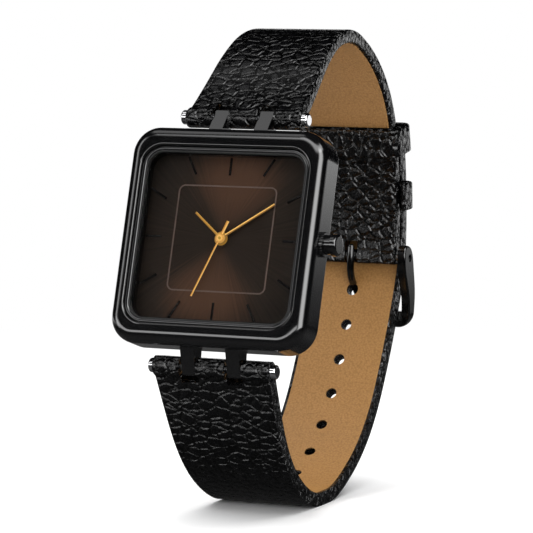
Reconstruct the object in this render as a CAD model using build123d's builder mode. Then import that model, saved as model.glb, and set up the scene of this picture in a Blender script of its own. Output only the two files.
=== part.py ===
from build123d import *
import os
from math import atan2, cos, hypot, pi, radians, sin

# Square wristwatch standing on its buckled strap. Millimetres, +Z up.
# The dial faces -Y and leans back; 3 o'clock points to +X.
# The origin is the middle of the small flat where the strap loop stands.

os.makedirs("parts", exist_ok=True)

# Strap loop, seen from the side; the shares further down are of this depth and height
loop_height = 76.0
loop_depth = 57.0
stand_flat = 3.0
strap_thickness = 2.2
bar_end_half_width = 9.9
buckle_end_half_width = 8.0
short_taper_length = 32.0
long_taper_length = 45.0
lap_gap = 0.3
pass_through = 120.0

# Case, with the levels of its rim and rear from the dial's face; rim and wall are wider at the two ends
lean_angle = 16.7
case_width = 33.4
case_height = 34.4
case_corner_radius = 4.4
case_rim_top = 2.5
case_rear = 3.4
rim_round = 1.8
rim_inner_round = 0.35
rear_round = 0.3
rim_width = 3.35
wall_width = 2.7
end_extra = 0.88
opening_corner_radius = 2.4
dial_pocket_corner_radius = 3.1
cavity_corner_radius = 5.5
running_gap = 0.06

# Crystal, its gasket and the ring round them
crystal_seat = 1.15
crystal_thickness = 0.6
crystal_lap = 0.2
gasket_width = 0.2
gasket_thickness = 0.7
ring_width = 0.7
ring_height = 0.9
ring_round = 0.3

# Dial and what is on it
dial_thickness = 0.4
dial_lap = 0.6
border_gap = 4.87
border_end_gap = 4.54
border_line = 0.22
border_rise = 0.03
border_corner_radius = 1.1
marker_count = 12
marker_length = 2.75
marker_edge_gap = 0.15
marker_width = 0.34
marker_height = 0.12

# Hands, with the levels of their undersides above the dial
hour_hand_length = 6.3
minute_hand_length = 10.2
second_hand_length = 10.0
second_tail_length = 2.9
hand_width = 0.34
second_hand_width = 0.22
tail_width = 0.4
hour_hand_level = 0.15
minute_hand_level = 0.40
second_hand_level = 0.65
hand_thickness = 0.13
hour_boss_radius = 1.08
minute_boss_radius = 0.9
second_boss_radius = 0.6
arbor_end_radius = 0.24
arbor_end_height = 0.1
hour_angle = 309.0
minute_angle = 56.5
second_angle = 201.5

# Lugs and strap bars
lug_spacing = 7.8
lug_width = 2.3
lug_root = 1.6
lug_front_level = 0.4
lug_rear_level = 3.3
lug_tip_reach = 1.55
lug_tip_level = 2.7
lug_chin_reach = 0.65
lug_chin_height = 1.2
lug_round = 0.45
bar_reach = 2.65
bar_level = 2.93
bar_radius = 0.6
cap_radius = 1.15
cap_length = 0.9
cap_round = 0.35
strap_side_gap = 0.15
slot_side_gap = 0.35
slot_radius = 2.1
knuckle_radius = 1.65

# Crown and stem
stem_level = 1.2
stem_radius = 0.45
stem_inner_end = 6.0
stem_groove_radius = 0.28
crown_stand = 0.06
crown_skirt_radius = 1.95
crown_skirt_length = 0.55
crown_neck_radius = 1.52
crown_neck_length = 1.7
crown_disc_radius = 1.74
crown_disc_length = 1.0
crown_dome_round = 0.45
crown_flute_count = 28
crown_flute_radius = 0.13
crown_bore_depth = 1.5
tube_radius = 0.95
tube_stand = 1.1
tube_bore_gap = 0.05
crown_gasket_thickness = 0.3

# Setting parts on the stem
lever_reach = 9.4
lever_thickness = 0.3
lever_width = 2.4
lever_height = 1.5
crown_pull = 1.0
clutch_start = 6.4
clutch_length = 1.0
clutch_radius = 0.7
clutch_tooth_count = 10
clutch_tooth_radius = 0.12

# Case back
back_thickness = 1.0
back_margin = 1.2
back_round = 0.4
back_screw_inset = 3.4
back_screw_radius = 0.5
back_screw_length = 1.6
back_head_radius = 0.85
back_head_height = 0.4
back_slot_width = 0.25
back_slot_depth = 0.2
back_gasket_inset = 0.2
back_gasket_width = 0.35
back_gasket_thickness = 0.25

# Movement plates; the places of its pieces are shares of its width and height
movement_width = 17.0
movement_height = 19.4
movement_drop = 1.2
movement_corner_radius = 3.0
holder_gap = 0.15
holder_front = 0.42
holder_rear = 3.2
plate_front = 1.05
plate_rear = 1.6
stem_channel_gap = 0.2
bridge_front = 2.62
bridge_rear = 2.95
bridge_width = 10.8
bridge_height = 8.9
bridge_place_share = (-0.0235, 0.0515)
bridge_corner_radius = 1.5
bridge_post_radius = 0.55
bridge_post_shares = [(-0.3059, 0.0979), (0.2529, -0.1340)]
bridge_screw_radius = 0.3
bridge_head_radius = 0.5
bridge_head_height = 0.15
bridge_screw_length = 1.4

# Electrical pieces of the movement
battery_radius = 3.4
battery_thickness = 2.1
battery_front = 1.08
battery_place_share = (0.0353, -0.3660)
battery_gap = 0.12
battery_round = 0.3
clamp_length = 9.8
clamp_width = 1.6
clamp_thickness = 0.15
clamp_foot = 0.8
stator_front = 2.22
stator_rear = 2.52
stator_half_width = 5.6
stator_low = 3.3
stator_high = 5.7
stator_leg_width = 1.5
stator_leg_top = 7.6
stator_hole_gap = 0.18
coil_height = 7.0
coil_core_radius = 0.35
coil_core_length = 10.6
coil_winding_radius = 0.85
coil_winding_length = 7.6
coil_window_gap = 0.15
board_place_share = (-0.4235, 0.0103)
board_width = 1.9
board_length = 9.6
board_corner_radius = 0.4
board_thickness = 0.25
can_radius = 0.5
can_length = 4.6
can_place_share = (-0.4235, 0.0722)

# Gear train: tooth counts, axle distances and directions, levels behind the dial's face
second_teeth, second_pinion_teeth = 40, 8
fifth_teeth, fifth_pinion_teeth = 36, 8
rotor_teeth = 6
third_teeth, third_pinion_teeth = 60, 8
center_teeth, cannon_teeth = 64, 12
minute_teeth, minute_pinion_teeth = 36, 10
hour_teeth = 40
third_distance = 3.06
fifth_distance = 3.0
rotor_distance = 1.89
minute_distance = 3.0
third_direction = 200
fifth_direction = 60
rotor_direction = 80
minute_direction = -30
tooth_root_share = 0.29
tooth_tip_share = 0.12
tooth_head_share = 0.9
tooth_foot_share = 1.15
window_place_share = 0.56
window_size_share = 0.24
window_count = 4
wheel_thickness = 0.15
pinion_length = 0.25
pivot_radius = 0.12
pivot_depth = 0.18
pivot_gap = 0.05
rotor_magnet_radius = 0.62
second_arbor_radius = 0.18
cannon_radius = 0.48
hour_tube_wall = 0.2
hour_wheel_level = 0.50
minute_wheel_level = 0.80
minute_pinion_level = 0.48
cannon_level = 0.77
cannon_length = 0.21
center_wheel_level = 1.70
third_pinion_level = 1.66
upper_wheel_level = 2.00
upper_pinion_level = 1.95
second_wheel_level = 2.30
lower_pinion_level = 2.25

# Keepers
keeper_wall = 1.1
keeper_height = 4.8
keeper_gap = 0.25
keeper_round = 0.8
tab_length = 1.6
tab_thickness = 0.5
fixed_keeper_share = 0.48
fold_lead = 0.4

# Buckle frame and pin
pin_radius = 0.6
pin_fold_radius = 1.2
pin_recess = 0.5
frame_side_gap = 0.95
frame_width = 1.4
frame_length = 12.0
frame_bar_drop = 9.1
frame_corner_radius = 2.6
frame_window_radius = 0.8
frame_strap_gap = 0.2
frame_round = 0.3
frame_outline_shares = [
    (-0.070, 0.180), (0.075, 0.115), (0.150, -0.120), (0.198, -0.460), (0.168, -0.780),
    (0.085, -0.985), (-0.005, -0.860), (-0.020, -0.640), (-0.110, -0.320), (-0.180, 0.000),
]

# Tongue: its start from the pin and its runs as shares of its length, with the headings in degrees
tongue_width = 1.6
tongue_radius = 0.62
tongue_eye_radius = 1.15
tongue_slot_gap = 0.35
tongue_slot_radius = 2.55
tongue_hole_radius = 1.05
tongue_length = 14.0
tongue_start_share = (-0.0714, 0.1071)
tongue_start_heading = -100
tongue_run_shares = [0.2714, 0.1857, 0.1143, 0.2929, 0.1357]
tongue_headings = [-85, -45, -40, -88, -92]

# Strap holes and tip
hole_count = 7
hole_pitch = 6.3
hole_radius = 0.95
hole_drop = 6.1
tip_length = 5.0

# Side-view places, as shares of the loop's depth and height
hub_share = (-0.351, 0.578)
short_path_shares = [
    (-0.0598, 0.9046), (0.0317, 0.9540), (0.2750, 0.9632), (0.4245, 0.8794), (0.5109, 0.7431),
]
pin_share = (0.5228, 0.4886)
front_path_shares = [(-0.1017, 0.0255), (-0.2847, 0.1374), (-0.3304, 0.1976)]
back_path_shares = [(0.0893, 0.0212), (0.3375, 0.1420), (0.4006, 0.2082), (0.5533, 0.4440)]
short_start_heading = 37.3


def place(share):
    """Side-view point (Y, Z) of a share of the loop."""
    return (share[0] * loop_depth, share[1] * loop_height)


def walk(start, heading, nodes):
    """Stations (point, heading) of arcs that run on smoothly through the nodes."""
    stations = [(start, heading)]
    for node in nodes:
        (y, z), heading = stations[-1]
        chord = atan2(node[1] - z, node[0] - y)
        turn = (chord - heading + pi) % (2 * pi) - pi
        stations.append((node, heading + 2 * turn))
    return stations


def bend(start, heading, lengths, headings):
    """Stations of arcs given by their lengths and last headings in degrees."""
    stations = [(start, heading)]
    for length, last in zip(lengths, headings):
        (y, z), heading = stations[-1]
        half_turn = (radians(last) - heading) / 2
        chord = length * sin(half_turn) / half_turn
        point = (y + chord * cos(heading + half_turn), z + chord * sin(heading + half_turn))
        stations.append((point, radians(last)))
    return stations


def backwards(stations):
    """The same stations walked from the far end."""
    return [(point, heading + pi) for point, heading in reversed(stations)]


def beside(station, distance):
    """Point at a distance to the left of a station."""
    (y, z), heading = station
    return (y - distance * sin(heading), z + distance * cos(heading))


def arc_length(first, last):
    """Length of the arc between two stations."""
    chord = hypot(last[0][0] - first[0][0], last[0][1] - first[0][1])
    half_turn = (last[1] - first[1]) / 2
    return chord if abs(half_turn) < 1e-9 else chord * half_turn / sin(half_turn)


def route_length(stations):
    """Length of all the arcs of a route."""
    return sum(arc_length(first, last) for first, last in zip(stations, stations[1:]))


def station_at(stations, distance):
    """Station at a distance along the route."""
    for first, last in zip(stations, stations[1:]):
        length = arc_length(first, last)
        if distance <= length:
            break
        distance -= length
    (y, z), heading = first
    turn = (last[1] - heading) * distance / length
    if abs(turn) < 1e-9:
        return ((y + distance * cos(heading), z + distance * sin(heading)), heading)
    radius = distance / turn
    end_heading = heading + turn
    end_y = y + radius * (sin(end_heading) - sin(heading))
    end_z = z - radius * (cos(end_heading) - cos(heading))
    return ((end_y, end_z), end_heading)


def stretch(stations, start, end):
    """The part of a route between two distances along it."""
    inner = []
    travelled = 0
    for first, last in zip(stations, stations[1:]):
        travelled += arc_length(first, last)
        if start < travelled < end:
            inner.append(last)
    return [station_at(stations, start)] + inner + [station_at(stations, end)]


def draw(stations, distance):
    """Arcs through the stations, shifted to their left; for the open BuildLine."""
    for first, last in zip(stations, stations[1:]):
        a, b = beside(first, distance), beside(last, distance)
        if abs(sin(last[1] - first[1])) < 1e-6:
            Line(a, b)
        else:
            TangentArc(a, b, tangent=(cos(first[1]), sin(first[1])))


def ribbon(stations, low, high):
    """Face between two shifts of a route; for the open BuildSketch."""
    with BuildLine() as outline:
        draw(stations, low)
        draw(stations, high)
        Line(beside(stations[0], low), beside(stations[0], high))
        Line(beside(stations[-1], low), beside(stations[-1], high))
    make_face(outline.edges())


def taper_outline(stations, taper_length):
    """Top-view outline (X, Y) of a strap half, as wide as it is at each station."""
    travelled = 0
    rows = []
    previous = stations[0]
    for station in stations:
        travelled += arc_length(previous, station) if station is not previous else 0
        share = min(travelled / taper_length, 1)
        half = bar_end_half_width + share * (buckle_end_half_width - bar_end_half_width)
        rows.append((half, station[0][0]))
        previous = station
    rows = [(rows[0][0], rows[0][1] - knuckle_radius)] + rows + [(rows[-1][0], loop_depth)]
    return rows + [(-half, y) for half, y in reversed(rows)]


def band_plane(station):
    """Plane square to the strap: x across it, y to its outer side."""
    (y, z), heading = station
    return Plane(origin=(0, y, z), x_dir=(1, 0, 0), z_dir=(0, -cos(heading), -sin(heading)))


def hole_plane(point, direction):
    """Plane at a side-view point, facing along a direction in radians."""
    return Plane(origin=(0, point[0], point[1]), x_dir=(1, 0, 0), z_dir=(0, cos(direction), sin(direction)))


def inner_outline(inset):
    """Width and height of an outline that runs a distance inside the case's sides."""
    return (case_width - 2 * inset, case_height - 2 * (inset + end_extra))


def dial_reach(angle, gap):
    """Distance from the hub, at a clock angle, to a line that runs a gap inside the opening."""
    width, height = inner_outline(rim_width + gap)
    return 0.5 / max(abs(sin(radians(angle))) / width, abs(cos(radians(angle))) / height)


def movement_place(share):
    """Dial point of a share of the movement's width and height."""
    return (share[0] * movement_width, share[1] * movement_height)


def polar(center, distance, direction):
    """Point at a distance and a direction in degrees from a centre."""
    return (
        center[0] + distance * cos(radians(direction)),
        center[1] + distance * sin(radians(direction)),
    )


def clock(angle, radius):
    """Dial point at an angle in degrees clockwise from 12 o'clock."""
    return (radius * sin(radians(angle)), radius * cos(radians(angle)))


def gear_face(center, teeth, module, direction, gap_first):
    """Toothed face with a tooth, or a gap, pointing in a direction; for the open BuildSketch."""
    pitch_radius = teeth * module / 2
    root = pitch_radius - tooth_foot_share * module
    tip = pitch_radius + tooth_head_share * module
    step = 360 / teeth
    start = direction + (step / 2 if gap_first else 0)
    points = []
    for index in range(teeth):
        middle = start + index * step
        points.append(polar(center, root, middle - tooth_root_share * step))
        points.append(polar(center, tip, middle - tooth_tip_share * step))
        points.append(polar(center, tip, middle + tooth_tip_share * step))
        points.append(polar(center, root, middle + tooth_root_share * step))
    with BuildLine() as outline:
        Polyline(*points, close=True)
    make_face(outline.edges())


def wheel_windows(center, teeth, module):
    """Round windows in a wheel; for the open BuildSketch."""
    pitch_radius = teeth * module / 2
    with Locations(center):
        with PolarLocations(window_place_share * pitch_radius, window_count):
            Circle(window_size_share * pitch_radius, mode=Mode.SUBTRACT)


# The head's own frame: x to 3 o'clock, y to 12 o'clock, z out of the dial; zero is the dial's face
lean = radians(lean_angle)
hub_y, hub_z = place(hub_share)
head = Plane(origin=(0, hub_y, hub_z), x_dir=(1, 0, 0), z_dir=(0, -cos(lean), sin(lean)))
dial_axis = Axis(head.origin, head.z_dir)


def side_plane(reach):
    """Plane across the head at a reach to 3 o'clock: x to 12 o'clock, y out of the dial."""
    return Plane(origin=head.from_local_coords((reach, 0, 0)), x_dir=head.y_dir, z_dir=(1, 0, 0))


def side_point(height, level):
    """Side-view point (Y, Z) of a place on the head's middle plane."""
    point = head.from_local_coords((0, height, level))
    return (point.Y, point.Z)


# Bars, strap routes and the places that follow from them
half_thickness = strap_thickness / 2
bar_height = case_height / 2 + bar_reach
bar_half_length = bar_end_half_width + strap_side_gap
upper_bar_point = side_point(bar_height, -bar_level)
lower_bar_point = side_point(-bar_height, -bar_level)
lug_centers = [-lug_spacing / 2, lug_spacing / 2]
slot_width = lug_width + 2 * slot_side_gap

pin_y, pin_z = place(pin_share)
short_nodes = [place(share) for share in short_path_shares] + [(pin_y, pin_z)]
short_route = walk(upper_bar_point, radians(short_start_heading), short_nodes)
short_length = route_length(short_route)
pin_station = short_route[-1]
keeper_station = short_route[-2]
last_run = arc_length(keeper_station, pin_station)
fixed_station = station_at([keeper_station, pin_station], last_run * fixed_keeper_share)
fold_start = short_length - last_run - keeper_height / 2 - fold_lead

lap = strap_thickness + lap_gap
flat_half = stand_flat / 2
front_nodes = [place(share) for share in front_path_shares] + [lower_bar_point]
front_route = walk((-flat_half, half_thickness), pi, front_nodes)
lap_nodes = [beside(station, lap) for station in (pin_station, keeper_station)]
back_nodes = [place(share) for share in back_path_shares] + lap_nodes
back_route = walk((flat_half, half_thickness), 0, back_nodes)
(tip_y, tip_z), tip_heading = back_route[-1]
tip_point = (tip_y + tip_length * cos(tip_heading), tip_z + tip_length * sin(tip_heading))
long_start = backwards(front_route)
long_start[-1] = (long_start[-1][0], 0)
long_start = [(point, heading - 2 * pi if heading > pi else heading) for point, heading in long_start]
long_route = long_start + back_route + [(tip_point, tip_heading)]
to_pin_lap = route_length(long_start + back_route[:-1])
hole_stations = [station_at(long_route, to_pin_lap - hole_drop - k * hole_pitch) for k in range(hole_count)]

tongue_origin = (
    pin_y + tongue_start_share[0] * tongue_length,
    pin_z + tongue_start_share[1] * tongue_length,
)
tongue_runs = [share * tongue_length for share in tongue_run_shares]
tongue_route = bend(tongue_origin, radians(tongue_start_heading), tongue_runs, tongue_headings)
frame_inner = buckle_end_half_width + frame_side_gap
frame_outer = frame_inner + frame_width
frame_outline = [(pin_y + y * frame_length, pin_z + z * frame_length) for y, z in frame_outline_shares]
frame_low = min(point[1] for point in frame_outline)
frame_high = max(point[1] for point in frame_outline)

# Places in the head
crystal_inset = rim_width - crystal_lap
seat_inset = crystal_inset - gasket_width
ring_inset = seat_inset - ring_width
crystal_corner_radius = opening_corner_radius + crystal_lap
seat_corner_radius = crystal_corner_radius + gasket_width
ring_corner_radius = seat_corner_radius + ring_width
dial_inset = rim_width - dial_lap
border_width = inner_outline(rim_width + border_gap)[0]
border_height = inner_outline(rim_width + border_end_gap)[1]
cavity_half = case_width / 2 - wall_width
lug_start = case_height / 2 - lug_root
back_rear = case_rear + back_thickness
gasket_inner_inset = wall_width - back_gasket_inset
gasket_outer_inset = gasket_inner_inset - back_gasket_width
gasket_inner_radius = cavity_corner_radius + back_gasket_inset
gasket_outer_radius = gasket_inner_radius + back_gasket_width
screw_x = case_width / 2 - back_screw_inset
screw_y = case_height / 2 - back_screw_inset
back_screw_places = [(sx * screw_x, sy * screw_y) for sx in (1, -1) for sy in (1, -1)]
crown_start = case_width / 2 + crown_stand
crown_neck_end = crown_start + crown_neck_length
hour_bore_radius = cannon_radius + running_gap
hour_tube_radius = hour_bore_radius + hour_tube_wall
second_bore_radius = second_arbor_radius + pivot_gap
stem_wrap = stem_radius + stem_channel_gap
clutch_wrap = clutch_radius + stem_channel_gap
stem_window = movement_width - 2 * (stem_inner_end - stem_channel_gap)
clamp_rear = battery_front + battery_thickness + clamp_thickness
bridge_place = movement_place(bridge_place_share)
bridge_posts = [movement_place(share) for share in bridge_post_shares]
battery_place = movement_place(battery_place_share)
board_place = movement_place(board_place_share)
can_place = movement_place(can_place_share)

third_place = polar((0, 0), third_distance, third_direction)
fifth_place = polar((0, 0), fifth_distance, fifth_direction)
rotor_place = polar(fifth_place, rotor_distance, rotor_direction)
minute_place = polar((0, 0), minute_distance, minute_direction)
third_module = 2 * third_distance / (third_teeth + second_pinion_teeth)
center_module = 2 * third_distance / (center_teeth + third_pinion_teeth)
second_module = 2 * fifth_distance / (second_teeth + fifth_pinion_teeth)
fifth_module = 2 * rotor_distance / (fifth_teeth + rotor_teeth)
minute_module = 2 * minute_distance / (minute_teeth + cannon_teeth)
hour_module = 2 * minute_distance / (hour_teeth + minute_pinion_teeth)
pivot_front = plate_rear - pivot_depth
pivot_rear = bridge_front + pivot_depth
pivot_length = pivot_rear - pivot_front
coil_level = stator_front - coil_core_radius
opposite = 180


# Case with its four lugs
with BuildPart() as case_body:
    with BuildSketch(head.offset(-case_rear)):
        RectangleRounded(case_width, case_height, case_corner_radius)
    extrude(amount=case_rear + case_rim_top)
    fillet(case_body.faces().sort_by(dial_axis)[-1].edges(), rim_round)
    fillet(case_body.faces().sort_by(dial_axis)[0].edges(), rear_round)
    with BuildSketch(head.offset(crystal_seat)):
        RectangleRounded(*inner_outline(ring_inset), ring_corner_radius)
    extrude(amount=case_rim_top, mode=Mode.SUBTRACT)
    fillet(case_body.faces().sort_by(dial_axis)[-1].inner_wires()[0].edges(), rim_inner_round)
    with BuildSketch(head):
        RectangleRounded(*inner_outline(rim_width), opening_corner_radius)
    extrude(amount=case_rim_top, mode=Mode.SUBTRACT)
    with BuildSketch(head):
        RectangleRounded(*inner_outline(wall_width), dial_pocket_corner_radius)
    extrude(amount=-dial_thickness, mode=Mode.SUBTRACT)
    with BuildSketch(head.offset(-dial_thickness)):
        RectangleRounded(*inner_outline(wall_width), cavity_corner_radius)
    extrude(amount=-case_rear, mode=Mode.SUBTRACT)
    for side in (1, -1):
        for center in lug_centers:
            with BuildSketch(side_plane(center - lug_width / 2)):
                with BuildLine():
                    Polyline(
                        (side * lug_start, lug_front_level),
                        (side * (bar_height + lug_tip_reach), -lug_tip_level),
                        (side * (bar_height + lug_chin_reach), -bar_level - lug_chin_height),
                        (side * lug_start, -lug_rear_level),
                        close=True,
                    )
                make_face()
                tip_corners = vertices().sort_by(Axis.X, reverse=side < 0)[2:]
                fillet(tip_corners, lug_round)
            extrude(amount=lug_width)
        with BuildSketch(side_plane(0)):
            with Locations((side * bar_height, -bar_level)):
                Circle(bar_radius)
        extrude(amount=case_width / 2, both=True, mode=Mode.SUBTRACT)
    with BuildSketch(side_plane(0)):
        with Locations((0, -stem_level)):
            Circle(tube_radius)
    extrude(amount=case_width, mode=Mode.SUBTRACT)
    with BuildSketch(head.offset(-case_rear)):
        with Locations(*back_screw_places):
            Circle(back_screw_radius)
    extrude(amount=back_screw_length, mode=Mode.SUBTRACT)
case_body.part.label = "case_body"
export_step(case_body.part, "parts/case_body.step")

# Ring between the case rim and the crystal
with BuildPart() as bezel_ring:
    with BuildSketch(head.offset(crystal_seat)):
        RectangleRounded(*inner_outline(ring_inset), ring_corner_radius)
        RectangleRounded(*inner_outline(seat_inset), seat_corner_radius, mode=Mode.SUBTRACT)
    extrude(amount=ring_height)
    fillet(bezel_ring.faces().sort_by(dial_axis)[-1].edges(), ring_round)
bezel_ring.part.label = "bezel_ring"
export_step(bezel_ring.part, "parts/bezel_ring.step")

# Crystal
with BuildPart() as crystal:
    with BuildSketch(head.offset(crystal_seat)):
        RectangleRounded(*inner_outline(crystal_inset), crystal_corner_radius)
    extrude(amount=crystal_thickness)
crystal.part.label = "crystal"
export_step(crystal.part, "parts/crystal.step")

# Gasket round the crystal
with BuildPart() as crystal_gasket:
    with BuildSketch(head.offset(crystal_seat)):
        RectangleRounded(*inner_outline(seat_inset), seat_corner_radius)
        RectangleRounded(*inner_outline(crystal_inset), crystal_corner_radius, mode=Mode.SUBTRACT)
    extrude(amount=gasket_thickness)
crystal_gasket.part.label = "crystal_gasket"
export_step(crystal_gasket.part, "parts/crystal_gasket.step")

# Dial plate
with BuildPart() as dial:
    with BuildSketch(head):
        RectangleRounded(*inner_outline(dial_inset), dial_pocket_corner_radius)
        Circle(hour_tube_radius + running_gap, mode=Mode.SUBTRACT)
    extrude(amount=-dial_thickness)
dial.part.label = "dial"
export_step(dial.part, "parts/dial.step")

# Square line printed on the dial
with BuildPart() as dial_line:
    with BuildSketch(head):
        RectangleRounded(border_width, border_height, border_corner_radius)
        RectangleRounded(
            border_width - 2 * border_line,
            border_height - 2 * border_line,
            border_corner_radius - border_line,
            mode=Mode.SUBTRACT,
        )
    extrude(amount=border_rise)
dial_line.part.label = "dial_line"
export_step(dial_line.part, "parts/dial_line.step")

# Hour markers, each on a line through the hub
with BuildPart() as hour_markers:
    with BuildSketch(head):
        for index in range(marker_count):
            angle = index * 360 / marker_count
            inner = dial_reach(angle, marker_edge_gap + marker_length)
            outer = dial_reach(angle, marker_edge_gap)
            x, y = clock(angle, (inner + outer) / 2)
            with Locations(Location((x, y, 0), (0, 0, -angle))):
                Rectangle(marker_width, outer - inner)
    extrude(amount=marker_height)
hour_markers.part.label = "hour_markers"
export_step(hour_markers.part, "parts/hour_markers.step")

# Hour hand on its tube
with BuildPart() as hour_hand:
    with BuildSketch(head.offset(hour_hand_level)):
        Circle(hour_boss_radius)
        x, y = clock(hour_angle, hour_hand_length / 2)
        with Locations(Location((x, y, 0), (0, 0, -hour_angle))):
            Rectangle(hand_width, hour_hand_length)
        Circle(hour_tube_radius, mode=Mode.SUBTRACT)
    extrude(amount=hand_thickness)
hour_hand.part.label = "hour_hand"
export_step(hour_hand.part, "parts/hour_hand.step")

# Minute hand
with BuildPart() as minute_hand:
    with BuildSketch(head.offset(minute_hand_level)):
        Circle(minute_boss_radius)
        x, y = clock(minute_angle, minute_hand_length / 2)
        with Locations(Location((x, y, 0), (0, 0, -minute_angle))):
            Rectangle(hand_width, minute_hand_length)
        Circle(cannon_radius, mode=Mode.SUBTRACT)
    extrude(amount=hand_thickness)
minute_hand.part.label = "minute_hand"
export_step(minute_hand.part, "parts/minute_hand.step")

# Second hand with its counterweight
with BuildPart() as second_hand:
    with BuildSketch(head.offset(second_hand_level)):
        Circle(second_boss_radius)
        x, y = clock(second_angle, second_hand_length / 2)
        with Locations(Location((x, y, 0), (0, 0, -second_angle))):
            Rectangle(second_hand_width, second_hand_length)
        x, y = clock(second_angle, -second_tail_length / 2)
        with Locations(Location((x, y, 0), (0, 0, -second_angle))):
            Rectangle(tail_width, second_tail_length)
        Circle(second_arbor_radius, mode=Mode.SUBTRACT)
    extrude(amount=hand_thickness)
second_hand.part.label = "second_hand"
export_step(second_hand.part, "parts/second_hand.step")

# Hour wheel and its tube
with BuildPart() as hour_wheel:
    with BuildSketch(head.offset(-hour_wheel_level)):
        gear_face((0, 0), hour_teeth, hour_module, minute_direction, True)
        wheel_windows((0, 0), hour_teeth, hour_module)
        Circle(hour_bore_radius, mode=Mode.SUBTRACT)
    extrude(amount=-wheel_thickness)
    with BuildSketch(head.offset(-hour_wheel_level - wheel_thickness)):
        Circle(hour_tube_radius)
        Circle(hour_bore_radius, mode=Mode.SUBTRACT)
    extrude(amount=hour_wheel_level + wheel_thickness + hour_hand_level + hand_thickness)
hour_wheel.part.label = "hour_wheel"
export_step(hour_wheel.part, "parts/hour_wheel.step")

# Minute wheel and pinion between cannon pinion and hour wheel
with BuildPart() as minute_wheel:
    with BuildSketch(head.offset(-minute_wheel_level)):
        gear_face(minute_place, minute_teeth, minute_module, minute_direction + opposite, True)
        wheel_windows(minute_place, minute_teeth, minute_module)
    extrude(amount=-wheel_thickness)
    with BuildSketch(head.offset(-minute_pinion_level)):
        gear_face(minute_place, minute_pinion_teeth, hour_module, minute_direction + opposite, False)
    extrude(amount=minute_pinion_level - minute_wheel_level)
    with BuildSketch(head.offset(-minute_wheel_level)):
        with Locations(minute_place):
            Circle(pivot_radius)
    extrude(amount=minute_wheel_level - plate_front - pivot_depth)
minute_wheel.part.label = "minute_wheel"
export_step(minute_wheel.part, "parts/minute_wheel.step")

# Centre wheel with the hollow arbor that carries the cannon pinion and the minute hand
with BuildPart() as center_wheel:
    with BuildSketch(head.offset(-center_wheel_level)):
        gear_face((0, 0), center_teeth, center_module, third_direction, True)
        wheel_windows((0, 0), center_teeth, center_module)
        Circle(cannon_radius)
        Circle(second_bore_radius, mode=Mode.SUBTRACT)
    extrude(amount=-wheel_thickness)
    with BuildSketch(head.offset(-center_wheel_level)):
        Circle(cannon_radius)
        Circle(second_bore_radius, mode=Mode.SUBTRACT)
    extrude(amount=center_wheel_level + minute_hand_level + hand_thickness)
    with BuildSketch(head.offset(-cannon_level)):
        gear_face((0, 0), cannon_teeth, minute_module, minute_direction, False)
        Circle(second_bore_radius, mode=Mode.SUBTRACT)
    extrude(amount=-cannon_length)
center_wheel.part.label = "center_wheel"
export_step(center_wheel.part, "parts/center_wheel.step")

# Third wheel
with BuildPart() as third_wheel:
    with BuildSketch(head.offset(-upper_wheel_level)):
        gear_face(third_place, third_teeth, third_module, third_direction + opposite, True)
        wheel_windows(third_place, third_teeth, third_module)
    extrude(amount=-wheel_thickness)
    with BuildSketch(head.offset(-third_pinion_level)):
        gear_face(third_place, third_pinion_teeth, center_module, third_direction + opposite, False)
    extrude(amount=third_pinion_level - upper_wheel_level)
    with BuildSketch(head.offset(-pivot_front)):
        with Locations(third_place):
            Circle(pivot_radius)
    extrude(amount=-pivot_length)
third_wheel.part.label = "third_wheel"
export_step(third_wheel.part, "parts/third_wheel.step")

# Second wheel on the long arbor that carries the second hand
with BuildPart() as second_wheel:
    with BuildSketch(head.offset(-second_wheel_level)):
        gear_face((0, 0), second_teeth, second_module, fifth_direction, True)
        wheel_windows((0, 0), second_teeth, second_module)
    extrude(amount=-wheel_thickness)
    with BuildSketch(head.offset(-upper_pinion_level)):
        gear_face((0, 0), second_pinion_teeth, third_module, third_direction, False)
    extrude(amount=upper_pinion_level - second_wheel_level)
    with BuildSketch(head.offset(-pivot_rear)):
        Circle(second_arbor_radius)
    extrude(amount=pivot_rear + second_hand_level + hand_thickness)
    with BuildSketch(head.offset(second_hand_level + hand_thickness)):
        Circle(arbor_end_radius)
    extrude(amount=arbor_end_height)
second_wheel.part.label = "second_wheel"
export_step(second_wheel.part, "parts/second_wheel.step")

# Fifth wheel, between the rotor and the second wheel
with BuildPart() as fifth_wheel:
    with BuildSketch(head.offset(-upper_wheel_level)):
        gear_face(fifth_place, fifth_teeth, fifth_module, rotor_direction, True)
        wheel_windows(fifth_place, fifth_teeth, fifth_module)
    extrude(amount=-wheel_thickness)
    with BuildSketch(head.offset(-lower_pinion_level)):
        gear_face(fifth_place, fifth_pinion_teeth, second_module, fifth_direction + opposite, False)
    extrude(amount=-pinion_length)
    with BuildSketch(head.offset(-pivot_front)):
        with Locations(fifth_place):
            Circle(pivot_radius)
    extrude(amount=-pivot_length)
fifth_wheel.part.label = "fifth_wheel"
export_step(fifth_wheel.part, "parts/fifth_wheel.step")

# Rotor of the stepping motor
with BuildPart() as rotor:
    with BuildSketch(head.offset(-lower_pinion_level)):
        with Locations(rotor_place):
            Circle(rotor_magnet_radius)
    extrude(amount=-pinion_length)
    with BuildSketch(head.offset(-upper_pinion_level)):
        gear_face(rotor_place, rotor_teeth, fifth_module, rotor_direction + opposite, False)
    extrude(amount=-pinion_length)
    with BuildSketch(head.offset(-pivot_front)):
        with Locations(rotor_place):
            Circle(pivot_radius)
    extrude(amount=-pivot_length)
rotor.part.label = "rotor"
export_step(rotor.part, "parts/rotor.step")

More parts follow.
